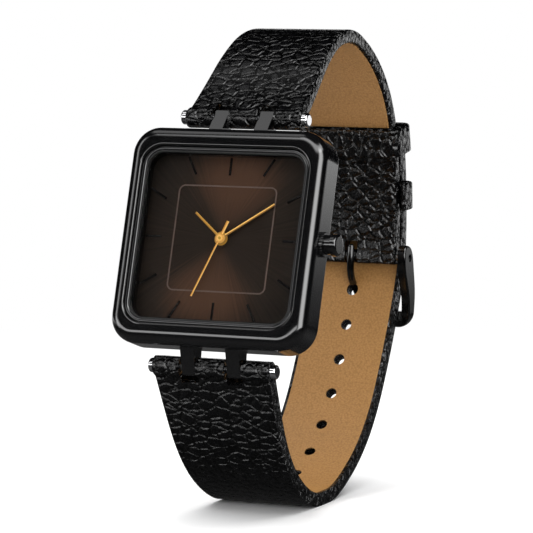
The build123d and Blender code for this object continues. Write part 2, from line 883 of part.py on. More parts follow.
# Main plate, open for the stem, the coil and the battery
with BuildPart() as main_plate:
    with BuildSketch(head.offset(-plate_rear)):
        with Locations((0, -movement_drop)):
            RectangleRounded(movement_width, movement_height, movement_corner_radius)
        with Locations(battery_place):
            Circle(battery_radius + battery_gap, mode=Mode.SUBTRACT)
        with Locations((0, coil_height)):
            Rectangle(
                coil_core_length + 2 * coil_window_gap,
                2 * (coil_winding_radius + coil_window_gap),
                mode=Mode.SUBTRACT,
            )
        with Locations((movement_width / 2, 0)):
            Rectangle(stem_window, 2 * clutch_wrap, mode=Mode.SUBTRACT)
        Circle(cannon_radius + running_gap, mode=Mode.SUBTRACT)
        with Locations(third_place, fifth_place, rotor_place, minute_place):
            Circle(pivot_radius + pivot_gap, mode=Mode.SUBTRACT)
        with Locations(*bridge_posts):
            Circle(bridge_screw_radius, mode=Mode.SUBTRACT)
    extrude(amount=plate_rear - plate_front)
main_plate.part.label = "main_plate"
export_step(main_plate.part, "parts/main_plate.step")

# Train bridge on two posts
with BuildPart() as train_bridge:
    with BuildSketch(head.offset(-bridge_rear)):
        with Locations(bridge_place):
            RectangleRounded(bridge_width, bridge_height, bridge_corner_radius)
    extrude(amount=bridge_rear - bridge_front)
    with BuildSketch(head.offset(-bridge_front)):
        with Locations(*bridge_posts):
            Circle(bridge_post_radius)
    extrude(amount=bridge_front - plate_rear)
    with BuildSketch(head.offset(-bridge_rear)):
        Circle(second_bore_radius)
        with Locations(third_place, fifth_place, rotor_place):
            Circle(pivot_radius + pivot_gap)
        with Locations(*bridge_posts):
            Circle(bridge_screw_radius)
    extrude(amount=bridge_rear, mode=Mode.SUBTRACT)
train_bridge.part.label = "train_bridge"
export_step(train_bridge.part, "parts/train_bridge.step")

# Screws of the train bridge
with BuildPart() as bridge_screws:
    with BuildSketch(head.offset(-bridge_rear)):
        with Locations(*bridge_posts):
            Circle(bridge_screw_radius)
    extrude(amount=bridge_screw_length)
    with BuildSketch(head.offset(-bridge_rear)):
        with Locations(*bridge_posts):
            Circle(bridge_head_radius)
    extrude(amount=-bridge_head_height)
bridge_screws.part.label = "bridge_screws"
export_step(bridge_screws.part, "parts/bridge_screws.step")

# Holder that fills the case round the movement
with BuildPart() as movement_holder:
    with BuildSketch(head.offset(-holder_front)):
        RectangleRounded(*inner_outline(wall_width + holder_gap), cavity_corner_radius - holder_gap)
        with Locations((0, -movement_drop)):
            RectangleRounded(
                movement_width + 2 * holder_gap,
                movement_height + 2 * holder_gap,
                movement_corner_radius + holder_gap,
                mode=Mode.SUBTRACT,
            )
    extrude(amount=holder_front - holder_rear)
    with BuildSketch(side_plane(0)):
        with Locations((0, -stem_level)):
            Circle(stem_wrap)
    extrude(amount=case_width, mode=Mode.SUBTRACT)
    with BuildSketch(side_plane(lever_reach - stem_channel_gap)):
        with Locations((0, -stem_level)):
            Rectangle(lever_width + 2 * stem_channel_gap, 2 * (lever_height - stem_channel_gap))
    extrude(amount=lever_thickness + crown_pull + 2 * stem_channel_gap, mode=Mode.SUBTRACT)
movement_holder.part.label = "movement_holder"
export_step(movement_holder.part, "parts/movement_holder.step")

# Battery
with BuildPart() as battery:
    with BuildSketch(head.offset(-battery_front)):
        with Locations(battery_place):
            Circle(battery_radius)
    extrude(amount=-battery_thickness)
    fillet(battery.faces().sort_by(dial_axis)[-1].edges(), battery_round)
battery.part.label = "battery"
export_step(battery.part, "parts/battery.step")

# Clamp over the battery
with BuildPart() as battery_clamp:
    with BuildSketch(head.offset(-clamp_rear)):
        with Locations(battery_place):
            Rectangle(clamp_length, clamp_width)
    extrude(amount=clamp_thickness)
    foot_x = (clamp_length - clamp_foot) / 2
    with BuildSketch(head.offset(-clamp_rear)):
        with Locations(
            (battery_place[0] - foot_x, battery_place[1]),
            (battery_place[0] + foot_x, battery_place[1]),
        ):
            Rectangle(clamp_foot, clamp_width)
    extrude(amount=clamp_rear - plate_rear)
battery_clamp.part.label = "battery_clamp"
export_step(battery_clamp.part, "parts/battery_clamp.step")

# Stator of the stepping motor, a flat yoke round the rotor
with BuildPart() as stator:
    with BuildSketch(head.offset(-stator_rear)):
        with Locations((0, (stator_low + stator_high) / 2)):
            Rectangle(2 * stator_half_width, stator_high - stator_low)
        leg_x = stator_half_width - stator_leg_width / 2
        leg_y = (stator_high + stator_leg_top) / 2
        with Locations((-leg_x, leg_y), (leg_x, leg_y)):
            Rectangle(stator_leg_width, stator_leg_top - stator_high)
        with Locations(rotor_place):
            Circle(rotor_magnet_radius + stator_hole_gap, mode=Mode.SUBTRACT)
    extrude(amount=stator_rear - stator_front)
stator.part.label = "stator"
export_step(stator.part, "parts/stator.step")

# Core of the coil, lying on the stator's legs
with BuildPart() as coil_core:
    with BuildSketch(side_plane(-coil_core_length / 2)):
        with Locations((coil_height, -coil_level)):
            Circle(coil_core_radius)
    extrude(amount=coil_core_length)
coil_core.part.label = "coil_core"
export_step(coil_core.part, "parts/coil_core.step")

# Winding of the coil
with BuildPart() as coil_winding:
    with BuildSketch(side_plane(-coil_winding_length / 2)):
        with Locations((coil_height, -coil_level)):
            Circle(coil_winding_radius)
            Circle(coil_core_radius, mode=Mode.SUBTRACT)
    extrude(amount=coil_winding_length)
coil_winding.part.label = "coil_winding"
export_step(coil_winding.part, "parts/coil_winding.step")

# Circuit board
with BuildPart() as circuit_board:
    with BuildSketch(head.offset(-plate_rear)):
        with Locations(board_place):
            RectangleRounded(board_width, board_length, board_corner_radius)
    extrude(amount=-board_thickness)
circuit_board.part.label = "circuit_board"
export_step(circuit_board.part, "parts/circuit_board.step")

# Can of the quartz crystal, lying on the board
with BuildPart() as quartz_can:
    can_level = -plate_rear - board_thickness - can_radius
    can_middle = head.from_local_coords((can_place[0], can_place[1], can_level))
    with BuildSketch(Plane(origin=can_middle, x_dir=(1, 0, 0), z_dir=head.y_dir)):
        Circle(can_radius)
    extrude(amount=can_length / 2, both=True)
quartz_can.part.label = "quartz_can"
export_step(quartz_can.part, "parts/quartz_can.step")

# Case back
with BuildPart() as case_back:
    with BuildSketch(head.offset(-back_rear)):
        RectangleRounded(
            case_width - 2 * back_margin,
            case_height - 2 * back_margin,
            case_corner_radius - back_margin,
        )
    extrude(amount=back_thickness)
    fillet(case_back.faces().sort_by(dial_axis)[0].edges(), back_round)
    with BuildSketch(head.offset(-back_rear)):
        with Locations(*back_screw_places):
            Circle(back_screw_radius)
    extrude(amount=back_thickness, mode=Mode.SUBTRACT)
    with BuildSketch(head.offset(-back_rear)):
        with Locations(*back_screw_places):
            Circle(back_head_radius)
    extrude(amount=back_head_height, mode=Mode.SUBTRACT)
    with BuildSketch(head.offset(-case_rear)):
        RectangleRounded(*inner_outline(gasket_outer_inset), gasket_outer_radius)
        RectangleRounded(*inner_outline(gasket_inner_inset), gasket_inner_radius, mode=Mode.SUBTRACT)
    extrude(amount=-back_gasket_thickness, mode=Mode.SUBTRACT)
case_back.part.label = "case_back"
export_step(case_back.part, "parts/case_back.step")

# Gasket in the groove of the case back
with BuildPart() as back_gasket:
    with BuildSketch(head.offset(-case_rear)):
        RectangleRounded(*inner_outline(gasket_outer_inset), gasket_outer_radius)
        RectangleRounded(*inner_outline(gasket_inner_inset), gasket_inner_radius, mode=Mode.SUBTRACT)
    extrude(amount=-back_gasket_thickness)
back_gasket.part.label = "back_gasket"
export_step(back_gasket.part, "parts/back_gasket.step")

# Slotted screws of the case back
with BuildPart() as back_screws:
    with BuildSketch(head.offset(-back_rear)):
        with Locations(*back_screw_places):
            Circle(back_head_radius)
    extrude(amount=back_head_height)
    with BuildSketch(head.offset(-back_rear)):
        with Locations(*back_screw_places):
            Rectangle(2 * back_head_radius, back_slot_width)
    extrude(amount=back_slot_depth, mode=Mode.SUBTRACT)
    with BuildSketch(head.offset(-back_rear + back_head_height)):
        with Locations(*back_screw_places):
            Circle(back_screw_radius)
    extrude(amount=back_thickness - back_head_height + back_screw_length)
back_screws.part.label = "back_screws"
export_step(back_screws.part, "parts/back_screws.step")

# Tube that guides the stem through the case wall
with BuildPart() as crown_tube:
    with BuildSketch(side_plane(cavity_half)):
        with Locations((0, -stem_level)):
            Circle(tube_radius)
            Circle(stem_radius + tube_bore_gap, mode=Mode.SUBTRACT)
    extrude(amount=case_width / 2 + tube_stand - cavity_half)
crown_tube.part.label = "crown_tube"
export_step(crown_tube.part, "parts/crown_tube.step")

# Crown: fluted skirt, smooth neck and domed end, bored for the tube
with BuildPart() as crown:
    with BuildSketch(side_plane(crown_start)):
        with Locations((0, -stem_level)):
            Circle(crown_skirt_radius)
            with PolarLocations(crown_skirt_radius, crown_flute_count):
                Circle(crown_flute_radius, mode=Mode.SUBTRACT)
    extrude(amount=crown_skirt_length)
    with BuildSketch(side_plane(crown_start)):
        with Locations((0, -stem_level)):
            Circle(crown_neck_radius)
    extrude(amount=crown_neck_length)
    with BuildSketch(side_plane(crown_neck_end)):
        with Locations((0, -stem_level)):
            Circle(crown_disc_radius)
    extrude(amount=crown_disc_length)
    fillet(crown.faces().sort_by(Axis.X)[-1].edges(), crown_dome_round)
    with BuildSketch(side_plane(crown_start)):
        with Locations((0, -stem_level)):
            Circle(tube_radius + running_gap)
    extrude(amount=crown_bore_depth, mode=Mode.SUBTRACT)
crown.part.label = "crown"
export_step(crown.part, "parts/crown.step")

# Stem, grooved for the setting lever
with BuildPart() as stem:
    with BuildSketch(side_plane(stem_inner_end)):
        with Locations((0, -stem_level)):
            Circle(stem_radius)
    extrude(amount=crown_start + crown_bore_depth - stem_inner_end)
    with BuildSketch(side_plane(lever_reach - running_gap)):
        with Locations((0, -stem_level)):
            Circle(stem_radius)
            Circle(stem_groove_radius, mode=Mode.SUBTRACT)
    extrude(amount=lever_thickness + 2 * running_gap, mode=Mode.SUBTRACT)
stem.part.label = "stem"
export_step(stem.part, "parts/stem.step")

# Gasket inside the crown
with BuildPart() as crown_gasket:
    with BuildSketch(side_plane(crown_start + crown_bore_depth)):
        with Locations((0, -stem_level)):
            Circle(tube_radius + running_gap)
            Circle(stem_radius, mode=Mode.SUBTRACT)
    extrude(amount=-crown_gasket_thickness)
crown_gasket.part.label = "crown_gasket"
export_step(crown_gasket.part, "parts/crown_gasket.step")

# Sliding pinion on the stem
with BuildPart() as sliding_pinion:
    with BuildSketch(side_plane(clutch_start)):
        with Locations((0, -stem_level)):
            Circle(clutch_radius)
            Circle(stem_radius, mode=Mode.SUBTRACT)
            with PolarLocations(clutch_radius, clutch_tooth_count):
                Circle(clutch_tooth_radius, mode=Mode.SUBTRACT)
    extrude(amount=clutch_length)
sliding_pinion.part.label = "sliding_pinion"
export_step(sliding_pinion.part, "parts/sliding_pinion.step")

# Setting lever, a plate that rides in the stem's groove
with BuildPart() as setting_lever:
    with BuildSketch(side_plane(lever_reach)):
        with Locations((0, -stem_level)):
            Rectangle(lever_width, lever_height)
            Circle(stem_groove_radius + running_gap, mode=Mode.SUBTRACT)
    extrude(amount=lever_thickness)
setting_lever.part.label = "setting_lever"
export_step(setting_lever.part, "parts/setting_lever.step")

# Upper strap bar
with BuildPart() as upper_bar:
    with BuildSketch(side_plane(-bar_half_length)):
        with Locations((bar_height, -bar_level)):
            Circle(bar_radius)
    extrude(amount=2 * bar_half_length)
upper_bar.part.label = "upper_bar"
export_step(upper_bar.part, "parts/upper_bar.step")

# Lower strap bar
with BuildPart() as lower_bar:
    with BuildSketch(side_plane(-bar_half_length)):
        with Locations((-bar_height, -bar_level)):
            Circle(bar_radius)
    extrude(amount=2 * bar_half_length)
lower_bar.part.label = "lower_bar"
export_step(lower_bar.part, "parts/lower_bar.step")

# Domed caps on the ends of both bars
with BuildPart() as bar_caps:
    for side in (1, -1):
        with BuildSketch(side_plane(side * bar_half_length)):
            with Locations((bar_height, -bar_level), (-bar_height, -bar_level)):
                Circle(cap_radius)
        extrude(amount=side * cap_length)
    outer_faces = bar_caps.faces().sort_by(Axis.X)[:2] + bar_caps.faces().sort_by(Axis.X)[-2:]
    fillet(outer_faces.edges(), cap_round)
bar_caps.part.label = "bar_caps"
export_step(bar_caps.part, "parts/bar_caps.step")


def cut_lug_slots(bar_point):
    """Slots that clear the lugs round a bar; for the open BuildPart."""
    for center in lug_centers:
        with BuildSketch(Plane.YZ.offset(center - slot_width / 2)) as slot:
            with Locations(bar_point):
                Circle(slot_radius)
        extrude(slot.sketch, amount=slot_width, mode=Mode.SUBTRACT)


def cut_taper(stations, taper_length):
    """Keep only what is inside the strap's top-view outline; for the open BuildPart."""
    with BuildSketch(Plane.XY.offset(-pass_through)) as blank:
        Polygon(*taper_outline(stations, taper_length), align=None)
    extrude(blank.sketch, amount=2 * pass_through, mode=Mode.INTERSECT)


def cut_tip():
    """Round off the end of the long strap; for the open BuildPart."""
    round_level = tip_point[1] - buckle_end_half_width
    with BuildSketch(Plane.XZ.offset(-pass_through)) as blank:
        with Locations((0, round_level - pass_through / 2)):
            Rectangle(pass_through, pass_through)
        with Locations((0, round_level)):
            Circle(buckle_end_half_width)
    extrude(blank.sketch, amount=2 * pass_through, mode=Mode.INTERSECT)


def cut_holes():
    """Holes of the long strap, the used one along the tongue; for the open BuildPart."""
    for point, heading in hole_stations[1:]:
        with BuildSketch(hole_plane(point, heading + pi / 2)) as opening:
            Circle(hole_radius)
        extrude(opening.sketch, amount=strap_thickness, both=True, mode=Mode.SUBTRACT)
    point, heading = tongue_route[3]
    with BuildSketch(hole_plane(point, heading)) as opening:
        Circle(tongue_hole_radius)
    extrude(opening.sketch, amount=strap_thickness, both=True, mode=Mode.SUBTRACT)


# Short strap: outer leather, folded round the pin and back along the inside
with BuildPart() as short_strap_leather:
    with BuildSketch(Plane.YZ):
        ribbon(short_route, 0, half_thickness)
        ribbon(stretch(short_route, fold_start, short_length), -half_thickness, 0)
        with Locations(upper_bar_point):
            Circle(knuckle_radius)
        with Locations((pin_y, pin_z)):
            Circle(pin_fold_radius)
        with Locations(upper_bar_point):
            Circle(bar_radius + running_gap, mode=Mode.SUBTRACT)
        with Locations((pin_y, pin_z)):
            Circle(pin_radius, mode=Mode.SUBTRACT)
    extrude(amount=bar_end_half_width, both=True)
    cut_taper(short_route, short_taper_length)
    cut_lug_slots(upper_bar_point)
    with BuildSketch(Plane.YZ.offset(-tongue_width / 2 - tongue_slot_gap)):
        with Locations((pin_y, pin_z)):
            Circle(tongue_slot_radius)
    extrude(amount=tongue_width + 2 * tongue_slot_gap, mode=Mode.SUBTRACT)
    with BuildSketch(band_plane(fixed_station)):
        for side in (1, -1):
            with Locations((side * (buckle_end_half_width - tab_length / 2), 0)):
                Rectangle(tab_length, tab_thickness)
    extrude(amount=keeper_height / 2, both=True, mode=Mode.SUBTRACT)
short_strap_leather.part.label = "short_strap_leather"
export_step(short_strap_leather.part, "parts/short_strap_leather.step")

# Short strap: lining against the wrist
with BuildPart() as short_strap_lining:
    with BuildSketch(Plane.YZ):
        ribbon(stretch(short_route, 0, fold_start), -half_thickness, 0)
        with Locations(upper_bar_point):
            Circle(knuckle_radius, mode=Mode.SUBTRACT)
    extrude(amount=bar_end_half_width, both=True)
    cut_taper(short_route, short_taper_length)
    cut_lug_slots(upper_bar_point)
short_strap_lining.part.label = "short_strap_lining"
export_step(short_strap_lining.part, "parts/short_strap_lining.step")

# Long strap: outer leather
with BuildPart() as long_strap_leather:
    with BuildSketch(Plane.YZ):
        ribbon(long_route, -half_thickness, 0)
        with Locations(lower_bar_point):
            Circle(knuckle_radius)
            Circle(bar_radius + running_gap, mode=Mode.SUBTRACT)
    extrude(amount=bar_end_half_width, both=True)
    cut_taper(long_route, long_taper_length)
    cut_tip()
    cut_lug_slots(lower_bar_point)
    cut_holes()
long_strap_leather.part.label = "long_strap_leather"
export_step(long_strap_leather.part, "parts/long_strap_leather.step")

# Long strap: lining
with BuildPart() as long_strap_lining:
    with BuildSketch(Plane.YZ):
        ribbon(long_route, 0, half_thickness)
        with Locations(lower_bar_point):
            Circle(knuckle_radius, mode=Mode.SUBTRACT)
    extrude(amount=bar_end_half_width, both=True)
    cut_taper(long_route, long_taper_length)
    cut_tip()
    cut_lug_slots(lower_bar_point)
    cut_holes()
long_strap_lining.part.label = "long_strap_lining"
export_step(long_strap_lining.part, "parts/long_strap_lining.step")

# Keeper that slides over both straps
keeper_half = buckle_end_half_width + keeper_gap
with BuildPart() as free_keeper:
    with BuildSketch(band_plane(keeper_station)):
        with Locations((0, lap / 2)):
            RectangleRounded(
                2 * (keeper_half + keeper_wall),
                lap + strap_thickness + 2 * (keeper_gap + keeper_wall),
                keeper_round,
            )
            Rectangle(2 * keeper_half, lap + strap_thickness + 2 * keeper_gap, mode=Mode.SUBTRACT)
    extrude(amount=keeper_height / 2, both=True)
free_keeper.part.label = "free_keeper"
export_step(free_keeper.part, "parts/free_keeper.step")

# Keeper whose ends are held between the layers of the short strap
with BuildPart() as fixed_keeper:
    inner_top = lap + half_thickness + keeper_gap
    outer_top = inner_top + keeper_wall
    with BuildSketch(band_plane(fixed_station)):
        with Locations((0, (outer_top - tab_thickness / 2) / 2)):
            RectangleRounded(
                2 * (keeper_half + keeper_wall),
                outer_top + tab_thickness / 2,
                keeper_round,
            )
        with Locations((0, (inner_top + tab_thickness / 2) / 2)):
            Rectangle(2 * keeper_half, inner_top - tab_thickness / 2, mode=Mode.SUBTRACT)
        Rectangle(2 * (buckle_end_half_width - tab_length), strap_thickness, mode=Mode.SUBTRACT)
    extrude(amount=keeper_height / 2, both=True)
fixed_keeper.part.label = "fixed_keeper"
export_step(fixed_keeper.part, "parts/fixed_keeper.step")

# Pin that carries the buckle in the fold of the short strap
with BuildPart() as buckle_pin:
    with BuildSketch(Plane.YZ.offset(-frame_outer + pin_recess)):
        with Locations((pin_y, pin_z)):
            Circle(pin_radius)
    extrude(amount=2 * (frame_outer - pin_recess))
buckle_pin.part.label = "buckle_pin"
export_step(buckle_pin.part, "parts/buckle_pin.step")

# Buckle frame: the side outline, cut to two arms and the bar that joins them behind the strap
with BuildPart() as buckle_frame:
    with BuildSketch(Plane.YZ.offset(-frame_outer)):
        with BuildLine():
            Spline(*frame_outline, periodic=True)
        make_face()
    extrude(amount=2 * frame_outer)
    with BuildSketch(Plane.XZ.offset(-pass_through)) as blank:
        with Locations((0, (frame_low + frame_high + frame_corner_radius) / 2)):
            RectangleRounded(
                2 * frame_outer,
                frame_high - frame_low + frame_corner_radius,
                frame_corner_radius,
            )
    extrude(blank.sketch, amount=2 * pass_through, mode=Mode.INTERSECT)
    fillet(buckle_frame.edges(), frame_round)
    with BuildSketch(Plane.XZ.offset(-pass_through)) as window:
        with Locations((0, pin_z - frame_bar_drop + frame_length)):
            RectangleRounded(2 * frame_inner, 2 * frame_length, frame_window_radius)
    extrude(window.sketch, amount=2 * pass_through, mode=Mode.SUBTRACT)
    with BuildSketch(Plane.YZ.offset(-frame_inner)):
        ribbon(long_route, -half_thickness - frame_strap_gap, half_thickness)
    extrude(amount=2 * frame_inner, mode=Mode.SUBTRACT)
    with BuildSketch(Plane.YZ.offset(-pass_through)):
        with Locations((pin_y, pin_z)):
            Circle(pin_radius + running_gap)
    extrude(amount=2 * pass_through, mode=Mode.SUBTRACT)
buckle_frame.part.label = "buckle_frame"
export_step(buckle_frame.part, "parts/buckle_frame.step")

# Tongue: an eye on the pin and a bent round finger through the used hole
with BuildPart() as buckle_tongue:
    with BuildLine(Plane.YZ) as finger:
        draw(tongue_route, 0)
    with BuildSketch(hole_plane(*tongue_route[0])) as section:
        Circle(tongue_radius)
    sweep(section.sketch, path=finger.wires()[0])
    for point, _ in (tongue_route[0], tongue_route[-1]):
        with Locations((0, point[0], point[1])):
            Sphere(tongue_radius)
    with BuildSketch(Plane.YZ.offset(-tongue_width / 2)) as eye:
        with Locations((pin_y, pin_z)):
            Circle(tongue_eye_radius)
    extrude(eye.sketch, amount=tongue_width)
    with BuildSketch(Plane.YZ.offset(-tongue_width / 2)) as bore:
        with Locations((pin_y, pin_z)):
            Circle(pin_radius + running_gap)
    extrude(bore.sketch, amount=tongue_width, mode=Mode.SUBTRACT)
buckle_tongue.part.label = "buckle_tongue"
export_step(buckle_tongue.part, "parts/buckle_tongue.step")
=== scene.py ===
import logging
import math
from dataclasses import dataclass, field
from enum import Enum
from typing import Iterable

import bpy
from mathutils import Matrix, Vector


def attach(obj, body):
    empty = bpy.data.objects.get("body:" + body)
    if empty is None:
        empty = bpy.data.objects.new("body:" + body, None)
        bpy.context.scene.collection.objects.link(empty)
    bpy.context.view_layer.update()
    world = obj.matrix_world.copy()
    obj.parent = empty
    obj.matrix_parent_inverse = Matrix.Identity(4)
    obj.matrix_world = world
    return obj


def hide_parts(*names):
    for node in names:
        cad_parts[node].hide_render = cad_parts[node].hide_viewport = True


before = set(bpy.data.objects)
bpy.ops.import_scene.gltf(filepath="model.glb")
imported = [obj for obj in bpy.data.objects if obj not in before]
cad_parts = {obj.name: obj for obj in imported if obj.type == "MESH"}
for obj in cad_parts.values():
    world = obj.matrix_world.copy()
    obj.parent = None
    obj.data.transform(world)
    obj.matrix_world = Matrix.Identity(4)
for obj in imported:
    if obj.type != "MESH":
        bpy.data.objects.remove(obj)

logging.basicConfig(level=logging.INFO, format="%(message)s")
LOG = logging.getLogger("watch")

MM = 0.001
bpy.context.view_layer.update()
WHITE = "ffffff"
GRAIN_DEPTH = 0.02 * MM
# Edges that turn more than this are rounded.
EDGE_ANGLE = math.radians(50)
# Turns a strap's side view, drawn flat, into the shared frame.
SIDE_VIEW = Matrix(((0, 0, 1, 0), (1, 0, 0, 0), (0, 1, 0, 0), (0, 0, 0, 1)))

Colour = tuple[float, float, float, float]
Material = bpy.types.Material
Node = bpy.types.Node
Object = bpy.types.Object
Socket = bpy.types.NodeSocket
Tree = bpy.types.NodeTree


def linear(hex_code: str) -> Colour:
    """Turn an sRGB hex value into the linear colour that shaders work in.

    Args:
        hex_code: Six hex digits.

    Returns:
        Linear red, green, blue and an alpha of one.
    """
    parts = [int(hex_code[i : i + 2], 16) / 255 for i in (0, 2, 4)]
    lit = [p / 12.92 if p <= 0.04045 else ((p + 0.055) / 1.055) ** 2.4 for p in parts]
    return (lit[0], lit[1], lit[2], 1.0)


def add_node(tree: Tree, kind: str, inputs: dict | list | None = None, **settings: object) -> Node:
    """Add a shader node with its settings and links.

    Args:
        tree: Node tree of a material or the world.
        kind: Blender's type name of the node, without the leading "ShaderNode".
        inputs: Values, or the sockets or nodes (by their first output) that feed them, in order or by
            input name or index.
        **settings: Attributes of the node.

    Returns:
        The new node.
    """
    node = tree.nodes.new("ShaderNode" + kind)
    for name, value in settings.items():
        setattr(node, name, value)
    given = inputs.items() if isinstance(inputs, dict) else enumerate(inputs or [])
    for key, value in given:
        if isinstance(value, Node):
            value = value.outputs[0]
        if isinstance(value, Socket):
            tree.links.new(value, node.inputs[key])
        else:
            node.inputs[key].default_value = value
    return node


def blank(name: str) -> tuple[Material, Tree]:
    """Make a material without nodes and give it with its tree."""
    material = bpy.data.materials.new(name)
    material.use_nodes = True
    material.node_tree.nodes.clear()
    return material, material.node_tree


def fill_ramp(node: Node, stops: list[tuple[float, str]]) -> None:
    """Set a colour ramp's stops.

    Args:
        node: The colour ramp node.
        stops: Positions from 0 to 1 with their sRGB hex values.
    """
    ramp = node.color_ramp
    while len(ramp.elements) < len(stops):
        ramp.elements.new(1.0)
    for element, (place, code) in zip(ramp.elements, stops):
        element.position = place
        element.color = linear(code)


def choose(obj: Object) -> None:
    """Make one object the only selected and the active one."""
    bpy.ops.object.select_all(action="DESELECT")
    obj.select_set(True)
    bpy.context.view_layer.objects.active = obj


def settle(obj: Object) -> None:
    """Put an object's place, turn and size into its mesh."""
    choose(obj)
    bpy.ops.object.transform_apply(location=True, rotation=True, scale=True)


def finish_with(obj: Object, kind: str, **settings: object) -> None:
    """Add a modifier with its settings and apply it.

    Args:
        obj: The object that gets it.
        kind: Blender's modifier type.
        **settings: Attributes of the modifier.
    """
    choose(obj)
    modifier = obj.modifiers.new(kind.lower(), kind)
    for name, value in settings.items():
        setattr(modifier, name, value)
    bpy.ops.object.modifier_apply(modifier=modifier.name)


def smooth(obj: Object, degrees: float) -> None:
    """Shade an object smooth except at edges sharper than an angle."""
    choose(obj)
    bpy.ops.object.shade_smooth_by_angle(angle=math.radians(degrees))


@dataclass(frozen=True)
class Finish:
    """A surface finish: the base of each material here."""

    name: str

    def start(self) -> tuple[Material, Tree, Node]:
        """Make the material with a bare principled shader.

        Returns:
            The material, its node tree and its principled shader.
        """
        material, tree = blank(self.name)
        shader = add_node(tree, "BsdfPrincipled")
        add_node(tree, "OutputMaterial", {"Surface": shader})
        return material, tree, shader

    def build(self) -> Material:
        """Make the material; each finish has its own."""
        return self.start()[0]

    @staticmethod
    def grain(
        tree: Tree, shader: Node, place: Socket, size: float, colour: str, shade: float, strength: float
    ) -> Socket:
        """Give a shader a faintly mottled colour and a bump from one fine grain.

        Args:
            tree: The material's node tree.
            shader: Its principled shader.
            place: Where the grain is read.
            size: The grain's size in millimetres.
            colour: The colour's sRGB hex value.
            shade: The brightness of the darker flecks, as a share of the colour's.
            strength: How much of the bump shows.

        Returns:
            The grain, from 0 to 1.
        """
        noise = add_node(
            tree, "TexNoise", {"Scale": 1 / (size * MM), "Detail": 4.0, "Vector": place}
        ).outputs["Fac"]
        base = linear(colour)
        fleck = tuple(c * shade for c in base[:3]) + (1.0,)
        tones = {6: fleck, 7: base, 0: noise}
        tone = add_node(tree, "Mix", tones, data_type="RGBA")
        tree.links.new(tone.outputs[2], shader.inputs["Base Color"])
        relief = {"Strength": strength, "Distance": GRAIN_DEPTH, "Height": noise}
        bump = add_node(tree, "Bump", relief)
        tree.links.new(bump.outputs[0], shader.inputs["Normal"])
        return noise


@dataclass(frozen=True)
class PlatedGloss(Finish):
    """Steel with a high-gloss black plating or enamel: deep black that mirrors softboxes sharply.

    The faint wander in roughness is what polishing leaves; it softens the edges of reflections a little.
    """

    colour: str = "0a0a0b"
    roughness: float = 0.14
    wander: float = 0.03
    gloss: float = 0.55
    coat_share: float = 0.7
    coat_roughness: float = 0.06
    polish_mm: float = 2.5

    def build(self) -> Material:
        """Make the plated black material."""
        material, tree, shader = self.start()
        shader.inputs["Base Color"].default_value = linear(self.colour)
        shader.inputs["Specular IOR Level"].default_value = self.gloss
        shader.inputs["Coat Weight"].default_value = self.coat_share * self.gloss
        shader.inputs["Coat Roughness"].default_value = self.coat_roughness
        place = add_node(tree, "TexCoord").outputs["Object"]
        wander = add_node(
            tree, "TexNoise", {"Scale": 1 / (self.polish_mm * MM), "Detail": 3.0, "Vector": place}
        )
        rough = add_node(
            tree,
            "MapRange",
            [wander.outputs["Fac"], 0.0, 1.0, self.roughness - self.wander, self.roughness + self.wander],
        )
        tree.links.new(rough.outputs[0], shader.inputs["Roughness"])
        return material


@dataclass(frozen=True)
class Metal(Finish):
    """A bare or polished metal: its fine drawn or brushed grain breaks reflections into streaks."""

    colour: str = "c8c8ca"
    shade: float = 0.86
    roughness: float = 0.25
    wander: float = 0.06
    smoothest: float = 0.02
    grain_mm: float = 0.3
    grain_strength: float = 0.06
    stretch: tuple[float, float, float] = (1.0, 1.0, 8.0)

    def build(self) -> Material:
        """Make the metal material."""
        material, tree, shader = self.start()
        shader.inputs["Metallic"].default_value = 1.0
        place = add_node(tree, "TexCoord").outputs["Object"]
        stretched = {"Scale": self.stretch, "Vector": place}
        mapping = add_node(tree, "Mapping", stretched).outputs[0]
        grain = self.grain(
            tree, shader, mapping, self.grain_mm, self.colour, self.shade, self.grain_strength
        )
        low = max(self.roughness - self.wander, self.smoothest)
        rough = add_node(tree, "MapRange", [grain, 0.0, 1.0, low, self.roughness + self.wander])
        tree.links.new(rough.outputs[0], shader.inputs["Roughness"])
        return material


@dataclass(frozen=True)
class Gilding(Finish):
    """Gilt brass with a satin top: part of its light is scattered, so it stays bright gold at every turn.

    One long side of a hand is painted lighter than the other, as painted light and shade on its facets, and
    painted highlights in rings on its boss stand for the light its steps catch.
    """

    light: str = "ffcf72"
    deep: str = "d08f30"
    clock: float = 56.5
    roughness: float = 0.42
    metallic: float = 0.2
    ridge_mm: float = 0.05
    ring_highlight_mm: float = 0.21
    boss_mm: float = 1.1

    def build(self) -> Material:
        """Make the gilt material."""
        material, tree, shader = self.start()
        shader.inputs["Metallic"].default_value = self.metallic
        shader.inputs["Roughness"].default_value = self.roughness
        flat = HEAD.mapping(tree)
        clock = math.radians(self.clock)
        # Painted light and shade: the hand is split along its length at its clock angle, one long side in
        # the light tone and the other in the deep tone.
        across = add_node(
            tree, "VectorMath", [flat, (math.cos(clock), -math.sin(clock), 0.0)], operation="DOT_PRODUCT"
        ).outputs["Value"]
        painted_facet_shade = add_node(tree, "MapRange", [across, -self.ridge_mm * MM, self.ridge_mm * MM])
        # Painted highlights: on the boss, rings of the light and the deep tone stand for light caught by
        # its steps.
        reach = add_node(tree, "VectorMath", [flat], operation="LENGTH").outputs["Value"]
        ring = add_node(tree, "Math", [reach, self.ring_highlight_mm * MM], operation="PINGPONG")
        painted_light_phase = add_node(tree, "MapRange", [ring, 0.0, self.ring_highlight_mm * MM])
        near = add_node(tree, "Math", [reach, self.boss_mm * MM], operation="LESS_THAN")
        share = add_node(tree, "Mix", {0: near, 2: painted_facet_shade, 3: painted_light_phase})
        tone = add_node(
            tree, "Mix", {6: linear(self.light), 7: linear(self.deep), 0: share}, data_type="RGBA"
        )
        tree.links.new(tone.outputs[2], shader.inputs["Base Color"])
        return material


